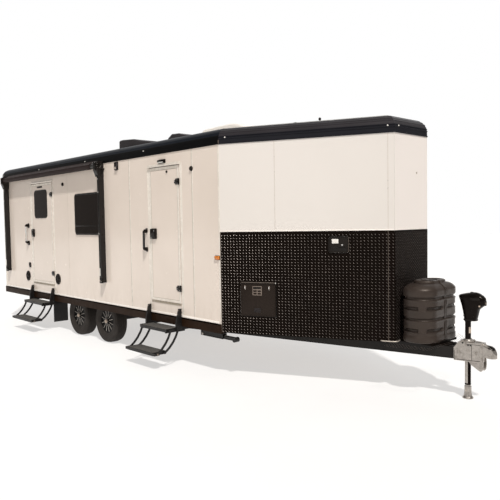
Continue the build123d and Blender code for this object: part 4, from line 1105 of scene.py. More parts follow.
# ---------------------------------------------------------------- wheels and tyres
for name, cx in (("front", 3776.0), ("rear", 2876.0)):
    for side, s in (("right", -1), ("left", 1)):
        body = f"{name}_{side}_wheel"
        F = Frame((cx, s * 1052.0, 333.0), (1, 0, 0), (0, 0, 1), (0, s, 0))
        T = Build()
        # carcass with sidewall steps, then tread blocks in ribs
        sec = [(184.5, 71), (190, 79), (200, 84), (214, 90), (216, 93.5), (219, 93.5), (221, 92), (245, 99.5),
               (248, 101.8), (252, 101.8), (254, 100.5), (276, 101.5), (279, 103), (283, 103), (285, 101),
               (300, 98.6), (314, 93), (322, 87), (326, 78)]
        prof = sec + [(326, 74), (327.2, 50), (327.6, 30), (327.6, -30), (327.2, -50), (326, -74)] + \
            [(r, -c) for r, c in sec[::-1]]
        rings = []
        for i in range(64):
            t = 2 * math.pi * i / 64
            rings.append([F(r * math.cos(t), r * math.sin(t), c) for r, c in prof])
        rings.append(rings[0])
        T.loops(rings, "tyre", False, False)
        for row, (c0, c1, r) in enumerate(((-86, -56, 330.5), (-50, -20, 332.6), (-15, 15, 332.9), (20, 50, 332.6),
                                           (56, 86, 330.5))):
            n = 54
            for i in range(n):
                t0 = 2 * math.pi * (i + 0.09 + 0.5 * (row % 2)) / n
                t1 = 2 * math.pi * (i + 0.91 + 0.5 * (row % 2)) / n
                sk = 0.018 * (1 if row < 2 else -1 if row > 2 else 0)
                low, top = [], []
                edge_r = r - (9 if row in (0, 4) else 0)
                for t, c in ((t0 - sk, c0), (t1 - sk, c0), (t1 + sk, c1), (t0 + sk, c1)):
                    rr = edge_r if (row == 0 and c == c0) or (row == 4 and c == c1) else r
                    low.append(F((rr - 8) * math.cos(t), (rr - 8) * math.sin(t), c))
                    top.append(F(rr * math.cos(t), rr * math.sin(t), c))
                T.loops([low, top], "tyre")
        # raised ribs round the shoulder
        for i in range(54):
            t = 2 * math.pi * (i + 0.5) / 54
            for c in (-1, 1):
                pts = [F(rr * math.cos(t), rr * math.sin(t), c * cc) for rr, cc in ((296, 98), (308, 95), (318, 89.5))]
                T.tube(pts, 2.6, "tyre", 5)
        tyre = T.done(f"{name}_{side}_tyre_tread", body, 34)
        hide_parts(f"{name}_{side}_tyre")

        R_ = Build()
        # outer lip, twin edges of every spoke, hub and nuts
        R_.lathe(F, [(181.5, 66), (183.4, 68), (183.4, 71), (180, 72.6), (176, 72), (173.6, 69), (173, 64)],
                 "alloy", 64, hollow=True)
        for k in range(12):
            t = math.radians(30 * k + 15)
            d, n_ = (math.cos(t), math.sin(t)), (-math.sin(t), math.cos(t))
            # a spoke's machined face, with black flanks proud of the disc beside it
            for wd, top, key in ((8.2, 0.4, "alloy"), (4.6, 2.4, "spoke")):
                rings = []
                for r, k_, c in ((56, 1.25, 70), (78, 1.0, 66.4), (120, 0.9, 65.4), (158, 1.0, 65.2), (172, 1.35, 66.4)):
                    rings.append([F(d[0] * r + n_[0] * q * wd * k_, d[1] * r + n_[1] * q * wd * k_, c + h)
                                  for q, h in ((-1.25, -5), (1.25, -5), (1.0, top), (-1.0, top))])
                R_.loops(rings, key)
        for k in range(6):
            t = math.radians(60 * k)
            R_.lathe(F.at(46 * math.cos(t), 46 * math.sin(t), 0), [(9.5, 72), (9.5, 84), (8, 87)], "spoke", 6)
        R_.lathe(F, [(57, 62), (57, 70), (54, 74), (34, 79), (33, 80)], "alloy", 40)
        R_.lathe(F, [(33, 78), (32, 86), (31, 96), (27, 101), (18, 104), (2, 105)], "hubcap", 40)
        # valve
        R_.tube([F(150, 0, 55), F(152, 2, 70), F(152, 3, 80)], 4, "rubber", 8)
        R_.done(f"{name}_{side}_rim_details", body, 30)

        # brake and backing plate, fixed to the axle
        D = Build()
        D.lathe(F, [(32, -66), (132, -66), (134, -64), (134, -60), (60, -60)], "frame", 40, hollow=True)
        D.lathe(F, [(24, -100), (30, -98), (30, -66)], "frame", 24)
        D.done(f"{name}_{side}_backing_plate", "trailer")

# ---------------------------------------------------------------- storage hatch and cable hatch
NR10 = NOSE_R.at(0, 0, 10)
B = Build()
# door skin with a folded rim, pull latches, blank instrument plate, louvre
B.frame_ring(NR10, 254, 674, 752, 1131, 12, -0.5, 2.2, "hatch", 12, 0.9)
B.box(NR10, 268, 660, 764, 1119, -0.5, 0.9, "hatch", 8, 0.5)
for s in (308, 601):
    B.slab(NR10, rect(s - 9, s + 9, 1062, 1106, 7), 0, 4.5, "dull", 2)
    B.slab(NR10, rect(s - 5.5, s + 5.5, 1070, 1099, 5), 4, 13, "bright", 4)
    B.screw(NR10, s, 1057, 4, 3, 1.8, "bright", 8)
B.slab(NR10, rect(398, 512, 994, 1101, 6), 0, 4, "dull", 1.6)
B.slab(NR10, rect(406, 504, 1066, 1093, 4), 3.6, 5.2, "gloss", 1)
for a, b in ((408, 1032), (459, 1032), (408, 1003), (459, 1003)):
    B.slab(NR10, rect(a, a + 43, b, b + 22, 3), 3.4, 5.0, "hatch", 0.8)
B.box(NR10, 410, 501, 789, 846, -0.5, 2.2, "hatch", 5, 1)
for i in range(4):
    z = 797 + 13 * i
    B.slab(Frame(NR10.o, NR10.a, NR10.b, NR10.c), rect(416, 495, z, z + 6.5, 2), 1.5, 6.0, "shroud_black", 2)
B.done("storage_hatch_fittings", "storage_hatch")
B = Build()
# fixed frame of the storage hatch with its hinge lip
B.tube([NOSE_R(a, 1139, 15) for a in (262, 300, 640, 668)], 9.4, "hatch", 12)
B.tube([NOSE_R(a, 1144.5, 22.5) for a in (264, 300, 640, 666)], 2.6, "hinge_line", 8)
B.box(NOSE_R, 250, 680, 1147, 1153, 5, 9.5, "hatch", 1, 1)
B.lathe(NOSE_R.at(676, 1139, 0), [(7, 6), (7, 17), (5, 19), (2, 19.5)], "label", 12)
# rubber behind the leaf's gap
B.frame_ring(NOSE_R, 245, 683, 743, 1140, 6, -16, -3, "rubber", 4, 1)
B.tube([NOSE_R(1514, 1500 + 160 * i / 12, 8.0) for i in range(13)], 1.8, "dull", 8)
B.done("nose_hatch_frames", "trailer")

NR12 = NOSE_R.at(0, 0, 12)
B = Build()
B.frame_ring(NR12, 1301, 1507, 1494, 1666, 9, -0.5, 2.6, "plastic", 18, 1.2)
B.slab(NR12, rect(1332, 1404, 1594, 1643, 4), -0.5, 1.2, "label", 0.5)
B.slab(NR12, rect(1318, 1490, 1512, 1560, 8), -0.5, 1.6, "gloss", 1)
B.lathe(NR12.at(1446, 1578, 0), [(11, -0.5), (11, 3), (9, 6), (8.2, 6), (7.6, 4.6), (1.4, 4.6)], "bright", 20)
B.box(NR12, 1444.4, 1447.6, 1573, 1583, 4, 5.4, "gloss", 0.8, 0.3)
for a, b in ((1476, 1520), (1476, 1640), (1332, 1520)):
    B.screw(NR12, a, b, 0, 4.5, 2.2, "gloss", 10)
B.done("cable_hatch_fittings", "cable_hatch")

# front face: marker stud and lower trim tube
B = Build()
B.lathe(FRONT.at(108, 2353, 0), [(13, -0.5), (13, 3), (9, 6), (2, 7)], "silver", 16)
B.tube(smooth_path([NOSE_R(1856, 548, 4), NOSE_R(1862, 547, 14), NOSE_R(1900, 546, 18), NOSE_R(1985, 545, 18),
                    FRONT(-316, 545, 20), FRONT(-270, 546, 16), FRONT(-262, 547, 4)], 8), 6.5, "silver", 12)
B.done("nose_fittings", "trailer")

# ---------------------------------------------------------------- gas bottle cover
CX = 8622.0


def stadium(hx, hy, n=18):
    """Outline of a shape with two round ends, with the direction out of it."""
    r = hx
    straight = hy - hx
    out = []
    for cy, t0 in ((-straight, -180), (straight, 0)):
        for i in range(n * 2 + 1):
            t = math.radians(t0 + 90 * i / n)
            out.append((r * math.cos(t), cy + r * math.sin(t), math.cos(t), math.sin(t)))
        if cy < 0:
            for i in range(1, 16):
                out.append((r, -straight + 2 * straight * i / 16, 1, 0))
        else:
            for i in range(1, 16):
                out.append((-r, straight - 2 * straight * i / 16, -1, 0))
    return out


def in_slot(x, y):
    ay = -abs(y)
    if ay < -164:
        t = math.degrees(math.atan2(ay + 164, x))
        return -150 < t < -72 or t > -40
    return x > 0 and -167 <= ay <= -46 or x < 0 and -167 <= ay <= -120


def cover_ring(z, d, slot=0.0, extra=0.0, hx=187.0, hy=351.0):
    out = []
    for x, y, nx, ny in stadium(hx, hy):
        dd = d + (slot if slot and in_slot(x, y) else 0.0)
        out.append(W(CX + x - nx * dd, y - ny * dd, z))
    return out


B = Build()
levels = [(560, 8, 0), (564, 3, 0), (572, 0, 0), (618, 0, 0), (628, 5, 0), (640, 6, 0), (664, 5, 0), (667, 2, 0),
          (670, 2, 0), (673, 6, 14), (678, 6, 22), (697, 6, 22), (705, 6, 10), (711, 5, 0), (760, 5, 0), (774, 3, 0),
          (781, 0, 0), (788, 0, 0), (791, 6, 0), (793, 17, 0), (797, 20, 0), (808, 20, 0), (812, 17, 0), (820, 7, 0), (828, 3, 0), (892, 4, 0),
          (895, 2, 0), (898, 2, 0), (901, 6, 14), (906, 6, 22), (925, 6, 22), (933, 6, 10), (940, 4, 0), (975, 5, 0),
          (990, 3, 0), (997, 0, 0), (1003, 0, 0), (1006, 6, 0), (1008, 17, 0), (1012, 20, 0), (1024, 20, 0), (1029, 17, 0), (1038, 6, 0),
          (1047, 1, 0), (1056, 0, 0), (1092, 0, 0)]
neck = [(1100, 186.5, 350.5), (1108, 185, 349), (1120, 178, 341), (1130, 169, 330), (1140, 160, 318), (1148, 151, 302),
        (1155, 142, 286), (1160, 134, 268), (1164, 128, 246), (1168, 124, 224)]
B.loops([cover_ring(z, d, s) for z, d, s in levels] + [cover_ring(z, 0, 0, 0, a, b) for z, a, b in neck], "cover")
# raised lid: rim, dished middle
lid = [(1164, 122, 205), (1180, 121, 204), (1188, 119, 202), (1194, 114, 197), (1198, 107, 190), (1199, 98, 181),
       (1195, 90, 173), (1188, 84, 166), (1184, 70, 150)]
B.loops([cover_ring(z, 0, 0, 0, a, b) for z, a, b in lid], "cover")


def strap(B, y, w, path, key, h=3.0):
    rings = []
    for i, (x, z) in enumerate(path):
        x0, z0 = path[max(i - 1, 0)]
        x1, z1 = path[min(i + 1, len(path) - 1)]
        dx, dz = x1 - x0, z1 - z0
        ln = math.hypot(dx, dz)
        nx, nz = dz / ln, -dx / ln
        if nx * x + nz * (z - 900) < 0:
            nx, nz = -nx, -nz
        rings.append([W(CX + x + nx * k, y + q, z + nz * k) for q, k in
                      ((-w, -1), (w, -1), (w, h), (w - 2, h + 0.8), (-w + 2, h + 0.8), (-w, h))])
    B.loops(rings, key)


side = [(185, 575), (185, 620), (181, 640), (181, 780), (173, 792), (173, 812), (181, 824), (181, 998), (172, 1008),
        (172, 1032), (182, 1044), (185, 1060), (185, 1094), (181, 1112), (174, 1124), (158, 1141), (140, 1156),
        (124, 1168), (120, 1186), (113, 1194), (98, 1196), (88, 1190), (70, 1185), (0, 1184)]
strap(B, 0, 23, side + [(-x, z) for x, z in side[-2::-1]], "cover", 3.6)
for q in (-17, 17):
    strap(B, q, 2.2, [(x + 2.8, z) for x, z in side[:15]], "gloss", 2.4)
B.lathe(Frame((CX + 20, 0, 1183), (1, 0, 0), (0, 1, 0), (0, 0, 1)), [(22, 0), (22, 8), (18, 12), (6, 13)], "plastic", 18)
B.tube(smooth_path([W(CX + 70, -30, 1188), W(CX + 60, -12, 1204), W(CX + 60, 12, 1204), W(CX + 70, 30, 1188)], 8), 5,
       "plastic", 8)
gas = B.done("gas_cover_shell", "trailer", 40)
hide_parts("propane_cover")

# tread bars on the tongue deck
B = Build()
for x in range(8425, 8880, 36):
    for y in range(-640, 640, 42):
        if abs(y) < 640 - (x - 8414) * 0.24 - 40 + 0 and not (abs(x - CX) < 199 and abs(y) < 362):
            t = math.radians(45 if ((x - 8425) // 36 + (y + 640) // 42) % 2 else -45)
            ca, sa = math.cos(t), math.sin(t)
            G = (0, 0)
            ls = (-13, 0), (-6, -3.5), (6, -3.5), (13, 0), (6, 3.5), (-6, 3.5)
            vs = [W(x + u * ca - v * sa, y + u * sa + v * ca, 536.8) for u, v in ls]
            vs += [W(x + u * ca - v * sa, y + u * sa + v * ca, 539) for u, v in ((-6, 0), (6, 0))]
            B.add(vs, [(0, 1, 6), (1, 2, 7, 6), (2, 3, 7), (3, 4, 7), (4, 5, 6, 7), (5, 0, 6), (5, 4, 3, 2, 1, 0)], "stud_wear_and_glint")
B.done("tongue_deck_bars", "trailer", 20, False)

# ---------------------------------------------------------------- jack
def lerp_table(tab, z):
    for (z0, v0), (z1, v1) in zip(tab, tab[1:]):
        if z <= z1:
            t = (z - z0) / (z1 - z0)
            t = t * t * (3 - 2 * t) * 0.35 + t * 0.65
            return v0 + (v1 - v0) * t
    return tab[-1][1]


HX0 = [(812, 9016), (880, 9008), (950, 8992), (1010, 8972), (1044, 8959), (1058, 8958), (1068, 8972), (1080, 9015),
       (1090, 9062), (1096, 9105), (1097, 9125)]
HX1 = [(812, 9141), (900, 9160), (925, 9168), (945, 9190), (965, 9214), (992, 9231), (1015, 9232), (1040, 9226),
       (1060, 9210), (1080, 9180), (1092, 9158), (1097, 9138)]
HW = [(812, 47), (860, 52), (920, 58), (980, 61), (1030, 61.5), (1060, 58), (1080, 44), (1092, 22), (1097, 8)]
B = Build()
rings = []
zs = [812, 818, 840, 870, 900, 925, 945, 965, 985, 1005, 1025, 1040, 1050, 1058, 1064, 1070, 1076, 1082, 1088, 1093,
      1096, 1097]
for z in zs:
    x0, x1, w = lerp_table(HX0, z), lerp_table(HX1, z), lerp_table(HW, z)
    if z == 812:
        x0, x1, w = x0 + 4, x1 - 4, w - 4
    cx, hx = (x0 + x1) / 2, (x1 - x0) / 2
    ring = []
    for i in range(40):
        t = 2 * math.pi * i / 40
        c, s = math.cos(t), math.sin(t)
        # blunt towards the front, pointed at the back
        e = 0.62 if c > 0 else 0.80
        ring.append(W(cx + hx * math.copysign(abs(c) ** e, c), w * math.copysign(abs(s) ** 0.72, s), z))
    rings.append(ring)
B.loops(rings, "jackblack")
# parting line, foot flange, crank plug, switch and level
B.loops([[W(9078 + (66 + d) * math.copysign(abs(math.cos(2 * math.pi * i / 40)) ** 0.6, math.cos(2 * math.pi * i / 40)),
            (51 + d) * math.copysign(abs(math.sin(2 * math.pi * i / 40)) ** 0.6, math.sin(2 * math.pi * i / 40)), z)
          for i in range(40)] for z, d in ((806, -4), (808, 0), (820, 0), (823, -4))], "plastic")
HF = Frame((9212, 0, 0), (0, 1, 0), (0, 0, 1), (1, 0, 0))
B.slab(HF, rect(-26, 26, 968, 1016, 10), 8, 20, "plastic", 3)
B.lathe(HF.at(0, 992, 0), [(13, 19), (13, 25), (10, 27), (3, 27.5)], "dull", 20)
HS = Frame((0, -58, 0), (1, 0, 0), (0, 0, 1), (0, -1, 0))
B.slab(HS, rect(9096, 9196, 1020, 1046, 8), -3, 4.5, "plastic", 2)
B.slab(HS, rect(9186, 9202, 958, 974, 4), -2, 5, "hubcap", 1.6)
HL = Frame((0, 58, 0), (1, 0, 0), (0, 0, 1), (0, 1, 0))
for x, z in ((9030, 860), (9130, 860), (9010, 1030), (9196, 1010)):
    for G in (HS, HL):
        B.screw(G, x, z, -3, 5, 5, "plastic", 10)
B.lathe(Frame((9090, 0, 1094), (1, 0, 0), (0, 1, 0), (0, 0, 1)), [(16, -3), (16, 3), (12, 4.5), (3, 5)], "plastic", 18)
# outer tube, blank label strip, mounting collar, lower seal
TZ = Frame((9050, 0, 0), (1, 0, 0), (0, 1, 0), (0, 0, 1))
B.lathe(TZ, [(28.5, 140), (30.5, 142), (30.5, 152), (28.5, 155), (28.5, 604), (28.5, 790), (34, 794), (38, 812)],
        "jackblack", 36)
# painted light: a zinc-coloured strip over the right-facing half of the black lower tube stands in for its lit side
half = []
for z in (158, 160, 584, 585.5):
    e = 0.9 if z in (160, 584) else 0.2
    half.append([W(9050 + (28.5 + e) * math.cos(math.radians(t)), (28.5 + e) * math.sin(math.radians(t)), z)
                 for t in range(-158, -67, 6)] +
                [W(9050 + 27.8 * math.cos(math.radians(t)), 27.8 * math.sin(math.radians(t)), z)
                 for t in range(-68, -159, -6)])
B.loops(half, "zinc")
B.lathe(TZ, [(28.5, 586), (70, 590.5), (72, 592), (72, 600), (70, 602), (46, 603), (40, 612), (29, 616)], "zinc", 36)
for t in (20, 140, 260):
    r = math.radians(t)
    B.bolt(TZ.at(58 * math.cos(r), 58 * math.sin(r), 0), 0, 0, 602, 9, 8, "zinc")
lab = []
for z in (676, 678, 736, 738):
    lab.append([W(9050 + 29.2 * math.cos(math.radians(t)), 29.2 * math.sin(math.radians(t)), z)
                for t in range(-48, 13, 6)] +
               [W(9050 + 28.2 * math.cos(math.radians(t)), 28.2 * math.sin(math.radians(t)), z)
                for t in range(12, -49, -6)])
B.loops(lab, "hubcap")
post = B.done("jack_body", "trailer", 38)
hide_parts("jack_post")
B = Build()
# flared sleeve on the leg's foot, wide enough to pass over the outer tube, with pin ends
B.lathe(TZ, [(33.4, 126), (34, 122), (34, 96), (35.5, 60), (40, 30), (45, 14), (46, 12.2), (31.8, 12.2), (31.8, 125)],
        "zinc", 36, hollow=True)
B.lathe(TZ, [(51, 1.5), (53.5, 3), (53.5, 9), (51, 12.4), (40, 12.6)], "zinc", 36)
for y in (-1, 1):
    B.tube([W(9050, y * 33.2, 84), W(9050, y * 41, 84)], 6, "silver", 12)
    B.tube([W(9050, y * 38, 84), W(9050, y * 40, 84)], 9, "silver", 12)
B.done("jack_foot_boot", "jack_leg", 38)

# ---------------------------------------------------------------- coupler
CA2 = math.atan2(105 - 46, 9215 - 8890)
CRS = Frame((8890, -105, 0), (math.cos(CA2), math.sin(CA2), 0), (0, 0, 1), (math.sin(CA2), -math.cos(CA2), 0))
CLS = Frame((8890, 105, 0), (math.cos(CA2), -math.sin(CA2), 0), (0, 0, 1), (math.sin(CA2), math.cos(CA2), 0))
B = Build()
for F in (CRS, CLS):
    for a, b, c0, c1, key in ((25, 32, -0.5, 4, "zinc"), (15, 20, 3, 5.5, "zinc")):
        ov = [(101 + a * math.cos(2 * math.pi * i / 28), 469 + b * math.sin(2 * math.pi * i / 28)) for i in range(28)]
        B.slab(F, ov, c0, c1, key, 2)
    B.box(F, 120, 318, 574, 588, -0.5, 3.5, "zinc", 0, 2)
    B.box(F, 60, 318, 396, 405, -0.5, 3, "zinc", 0, 2)
    B.bolt(F, 78, 420, 0, 10, 8, "zinc")
    # painted shade: thin dark strips under the beads and along the folded edge
    B.box(F, 120, 318, 569, 573, -0.3, 1.0, "frame", 0, 0.3)
    B.box(F, 60, 318, 406, 410, -0.3, 1.0, "frame", 0, 0.3)
    B.box(F, 230, 234, 412, 566, -0.3, 1.2, "frame", 0, 0.3)
    B.box(F, 60, 64, 412, 500, -0.3, 1.2, "frame", 0, 0.3)
    B.bolt(F, 190, 505, 0, 10, 8, "zinc")
    B.tube([F(262, 492, -1), F(262, 492, 8)], 9, "zinc", 14)
    for a0, a1 in ((190, 205), (212, 228)):
        B.slab(F, rect(a0, a1, 552, 568, 5), -0.5, 0.8, "rubber", 0.4)
    # upright rounded ear on the side sheet
    ear = [(102, 548), (176, 548), (178, 566)] + \
        [(145 + 31 * math.cos(math.radians(t)), 581 + 31 * math.sin(math.radians(t))) for t in range(10, 171, 16)] + \
        [(104, 566)]
    B.slab(F, ear, -0.3, 5.5, "zinc", 1.8)
    B.lathe(F.at(145, 583, 0), [(13, 5), (13, 7.2), (10, 7.2), (9.6, 5.8), (1, 5.8)], "zinc", 24)
    B.lathe(F.at(145, 583, 0), [(9.8, 5), (9.8, 6.6), (1, 6.7)], "rubber", 20)
# latch hood on the nose
hood = []
for x, h, w in ((9128, 1, 26), (9140, 8, 28), (9170, 10, 29), (9215, 0, 29), (9250, -14, 27), (9280, -30, 24),
                (9296, -44, 20)):
    hood.append([W(x, w * math.cos(t), 590 - 46 + (46 + h) * (math.sin(t) if h > -30 else 1))
                 for t in (math.pi * i / 14 for i in range(15))])
B.loops(hood, "zinc")
# black latch lever lying over the hood
B.slab(Frame((0, 0, 0), (1, 0, 0), (0, 0, 1), (0, -1, 0)), [(9225, 556), (9280, 556), (9300, 548), (9312, 528),
                                                            (9326, 532), (9317, 556), (9290, 570), (9262, 573),
                                                            (9232, 572), (9205, 580), (9205, 566)], -14, 14, "gloss", 3,
       both=True)
# socket rim
SO = Frame((9296, 0, 0), (1, 0, 0), (0, 1, 0), (0, 0, 1))
B.lathe(SO, [(31, 449), (46.4, 449.2), (47.8, 452), (47.8, 462), (46.5, 465), (45, 462)], "zinc", 36, hollow=True)
# lower bracket: a bolt, and holes drawn as raised rims round flat dark discs, painted shade for the holes
for s in (-1, 1):
    G = Frame((0, s * 40, 0), (1, 0, 0), (0, 0, 1), (0, s, 0))
    B.lathe(G.at(9172, 418, 0), [(19, -0.3), (19, 3), (15, 4), (13, 3), (13, 0.5)], "zinc", 24)
    B.lathe(G.at(9172, 418, 0), [(12.6, -0.3), (12.6, 1.2), (2, 1.3)], "rubber", 20)
    for x, z, r in ((9156, 388, 9), (9200, 366, 10)):
        B.lathe(G.at(x, z, 0), [(r + 4, -0.3), (r + 4, 1.6), (r + 2, 2.2), (r, 1.4)], "zinc", 22)
        B.lathe(G.at(x, z, 0), [(r + 0.4, -0.3), (r + 0.4, 1.0), (1, 1.1)], "rubber", 20)
    B.bolt(G, 9110, 440, 0, 8, 7, "zinc")
B.done("coupler_details", "trailer", 36)

# ---------------------------------------------------------------- tongue: frame lips
B = Build()
for s in (-1, 1):
    for x0, x1 in ((6560, 8936),):
        y0, y1 = (s * (-659 + 0.2374 * (x0 - 6520)), s * (-659 + 0.2374 * (x1 - 6520)))
        for z in (409, 528):
            rings = []
            for x, y in ((x0, y0), (x1, y1)):
                rings.append([W(x, y + q * -s * -1 * (1 if s > 0 else 1), z + h) for q, h in
                              ((0, -4), (0, 4), (2.6 * s * -1 * -1, 3), (2.6 * s, -3))])
            B.loops(rings, "frame")
B.done("tongue_details", "trailer")

# ---------------------------------------------------------------- roof units
ROOFZ = Frame((0, 0, ROOF_Z1), (1, 0, 0), (0, 1, 0), (0, 0, 1))
B = Build()
for half, s in ((330, -1), (330, 1)):
    F = Frame((0, s * half, ROOF_Z1), (1, 0, 0), (0, 0, 1), (0, s, 0))
    for k in range(11):
        x = 3060 + 62 * k
        B.box(F, x, x + 40, 60, 66, -0.5, 3, "shroud_black", 2, 1.2)
        for j in range(1, 7):
            if 60 + 22 * j < 225 - 5.0 * k:
                B.box(F, x, x + 40, 60 + 22 * j, 66 + 22 * j, -0.5, 3, "shroud_black", 2, 1.2)
    B.box(F, 2970, 4172, 2, 16, -0.5, 6, "shroud_black", 3, 2)
    for x in (3000, 3400, 3800, 4140):
        B.screw(F, x, 30, 0, 6, 3, "bright", 10)
BK = Frame((2963, 0, ROOF_Z1), (0, -1, 0), (0, 0, 1), (-1, 0, 0))
for j in range(9):
    B.box(BK, -280, 280, 30 + 22 * j, 38 + 22 * j, -0.5, 4, "shroud_black", 2, 1.5)
# panel line over the top
for y in (-210, 210):
    B.tube([W(x, y, ROOF_Z1 + z - 4) for x, z in ((3000, 313), (3070, 315), (3400, 292), (3560, 257), (3800, 217))], 3,
           "shroud_black", 8)
B.done("rear_air_conditioner_grilles", "trailer")
B = Build()
for s in (-1, 1):
    F = Frame((0, s * 340, ROOF_Z1), (1, 0, 0), (0, 0, 1), (0, s, 0))
    for k in range(9):
        x = 5330 + 68 * k
        for j in range(5):
            B.box(F, x, x + 46, 46 + 24 * j, 56 + 24 * j, -0.5, 2.5, "shroud_black", 3, 1)
    B.box(F, 5213, 6340, 2, 16, -0.5, 6, "shroud_white", 3, 2)
    for x in (5280, 5600, 5950, 6300):
        B.screw(F, x, 28, 0, 6, 3, "bright", 10)
BK = Frame((5208, 0, ROOF_Z1), (0, -1, 0), (0, 0, 1), (-1, 0, 0))
for j in range(6):
    B.box(BK, -290, 290, 30 + 22 * j, 39 + 22 * j, -6, 2, "shroud_black", 2, 1)
for y in (-225, 225):
    B.tube([W(x, y, ROOF_Z1 + z + 0.5) for x, z in ((5330, 214), (5600, 220.5), (5850, 225.5))], 3, "shroud_white", 8)
B.done("front_air_conditioner_grilles", "trailer")
B = Build()
for s in (-1, 1):
    F = Frame((0, s * 240, ROOF_Z1), (1, 0, 0), (0, 0, 1), (0, s, 0))
    for j in range(5):
        B.box(F, 4300 + 6 * j, 4560 + 4 * j, 40 + 26 * j, 48 + 26 * j, -0.5, 3, "shroud_black", 3, 1.2)
    B.box(F, 4211, 4894, 2, 14, -0.5, 6, "shroud_black", 3, 2)
B.box(Frame((4205, 0, ROOF_Z1), (0, -1, 0), (0, 0, 1), (-1, 0, 0)), -200, 200, 20, 96, -3, 3, "gloss", 6, 2)
# three low plumbing vents, a second flat hatch, antenna
for x, y in ((1180, 520), (2100, -560), (6700, 380)):
    B.lathe(ROOFZ.at(x, y, 0), [(62, -0.5), (62, 3), (40, 6), (36, 34), (48, 38), (48, 52), (40, 60), (6, 63)],
            "shroud_black", 28)
B.lathe(Frame((7386, -300, ROOF_Z1), (1, 0, 0), (0, 1, 0), (0, 0, 1)), [(38, -0.5), (38, 8), (22, 14), (12, 20),
                                                                       (10, 62), (16, 66), (16, 80), (9, 90), (2, 92)],
        "plastic", 20)
B.slab(ROOFZ, rect(1500, 1860, -180, 180, 30), -0.5, 22, "shroud_white", 6)
B.slab(ROOFZ, rect(1516, 1844, -164, 164, 26), 20, 62, "shroud_white", 18)
for i in range(5):
    B.box(ROOFZ, 1560 + 52 * i, 1568 + 52 * i, -120, 120, 61, 64, "shroud_white", 3, 1)
B.done("roof_vents_and_antenna", "trailer")
B = Build()
for x in range(1240, 8000, 1219):
    w = 1060 if x < 6400 else max(1060 - (x - 6614) * 0.4975, 200)
    B.box(ROOFZ, x - 30, x + 30, -w, w, -0.4, 1.2, "roof", 6, 0.8)
    for y in range(int(-w) + 40, int(w), 120):
        B.screw(ROOFZ, x - 18, y, 1, 4, 1.6, "zinc", 6)
        B.screw(ROOFZ, x + 18, y + 50 if y + 50 < w else y, 1, 4, 1.6, "zinc", 6)
# bedding sealant round the units
for x0, x1, h in ((2935, 4190, 355), (5192, 6372, 365), (4193, 4925, 262)):
    B.frame_ring(ROOFZ, x0, x1, -h, h, 30, -0.4, 3.0, "roof", 30, 2)
B.done("roof_seams", "trailer")

# ---------------------------------------------------------------- rear end
B = Build()
# extruded frame lip, gasket, hinge leaf, keepers
B.frame_ring(REAR, -1214, 1214, 640, 2757, 22, -0.5, 5, "white_frame", 18, 2)
B.frame_ring(REAR, -1112, 1112, 767, 2713, 5, -0.5, 4, "white_frame", 4, 1.2)
B.frame_ring(REAR, -1104, 1104, 775, 2705, 4.5, -30, -6, "rubber", 4, 1)
for z in range(700, 2740, 170):
    for y in (-1200, 1200):
        B.screw(REAR, y, z, 4.5, 5, 2.5, "bright", 8)
for y in range(-1140, 1141, 190):
    B.screw(REAR, y, 2744, 4.5, 5, 2.5, "bright", 8)
for y in (-900, -450, 0, 450, 900):
    for d in (-95, -80, 80, 95):
        B.screw(REAR, y + d, 752, -0.5, 5.5, 3, "bright", 8)
    B.box(REAR, y - 105, y - 64, 738, 768, -0.5, 4, "zinc", 3, 1.4)
    B.box(REAR, y + 64, y + 105, 738, 768, -0.5, 4, "zinc", 3, 1.4)
for y in (-820, 820):
    B.slab(REAR, rect(y - 30, y + 30, 2712, 2748, 5), -0.5, 6, "zinc", 2)
    B.slab(REAR, rect(y - 18, y + 18, 2706, 2738, 5), 5, 21, "zinc", 4)
# lights
for s in (-1, 1):
    B.slab(REAR, rect(min(s * 1126, s * 1188), max(s * 1126, s * 1188), 980, 1150, 26), -0.5, 7, "rubber", 2.5)
    B.slab(REAR, rect(min(s * 1131, s * 1183), max(s * 1131, s * 1183), 1040, 1145, 22), 6, 17, "red", 5)
    B.slab(REAR, rect(min(s * 1131, s * 1183), max(s * 1131, s * 1183), 985, 1034, 18), 6, 15, "clear", 4)
    for i in range(5):
        B.screw(REAR, s * 1157, 1058 + 18 * i, 15.5, 6, 2.5, "red", 12)
    B.slab(REAR, rect(min(s * 1140, s * 1176), max(s * 1140, s * 1176), 2640, 2690, 10), -0.5, 14, "red", 5)
for y in (-150, 0, 150):
    B.slab(REAR, rect(y - 40, y + 40, 2722, 2742, 8), -0.5, 12, "red", 4)
B.done("rear_frame_fittings", "trailer")

B = Build()
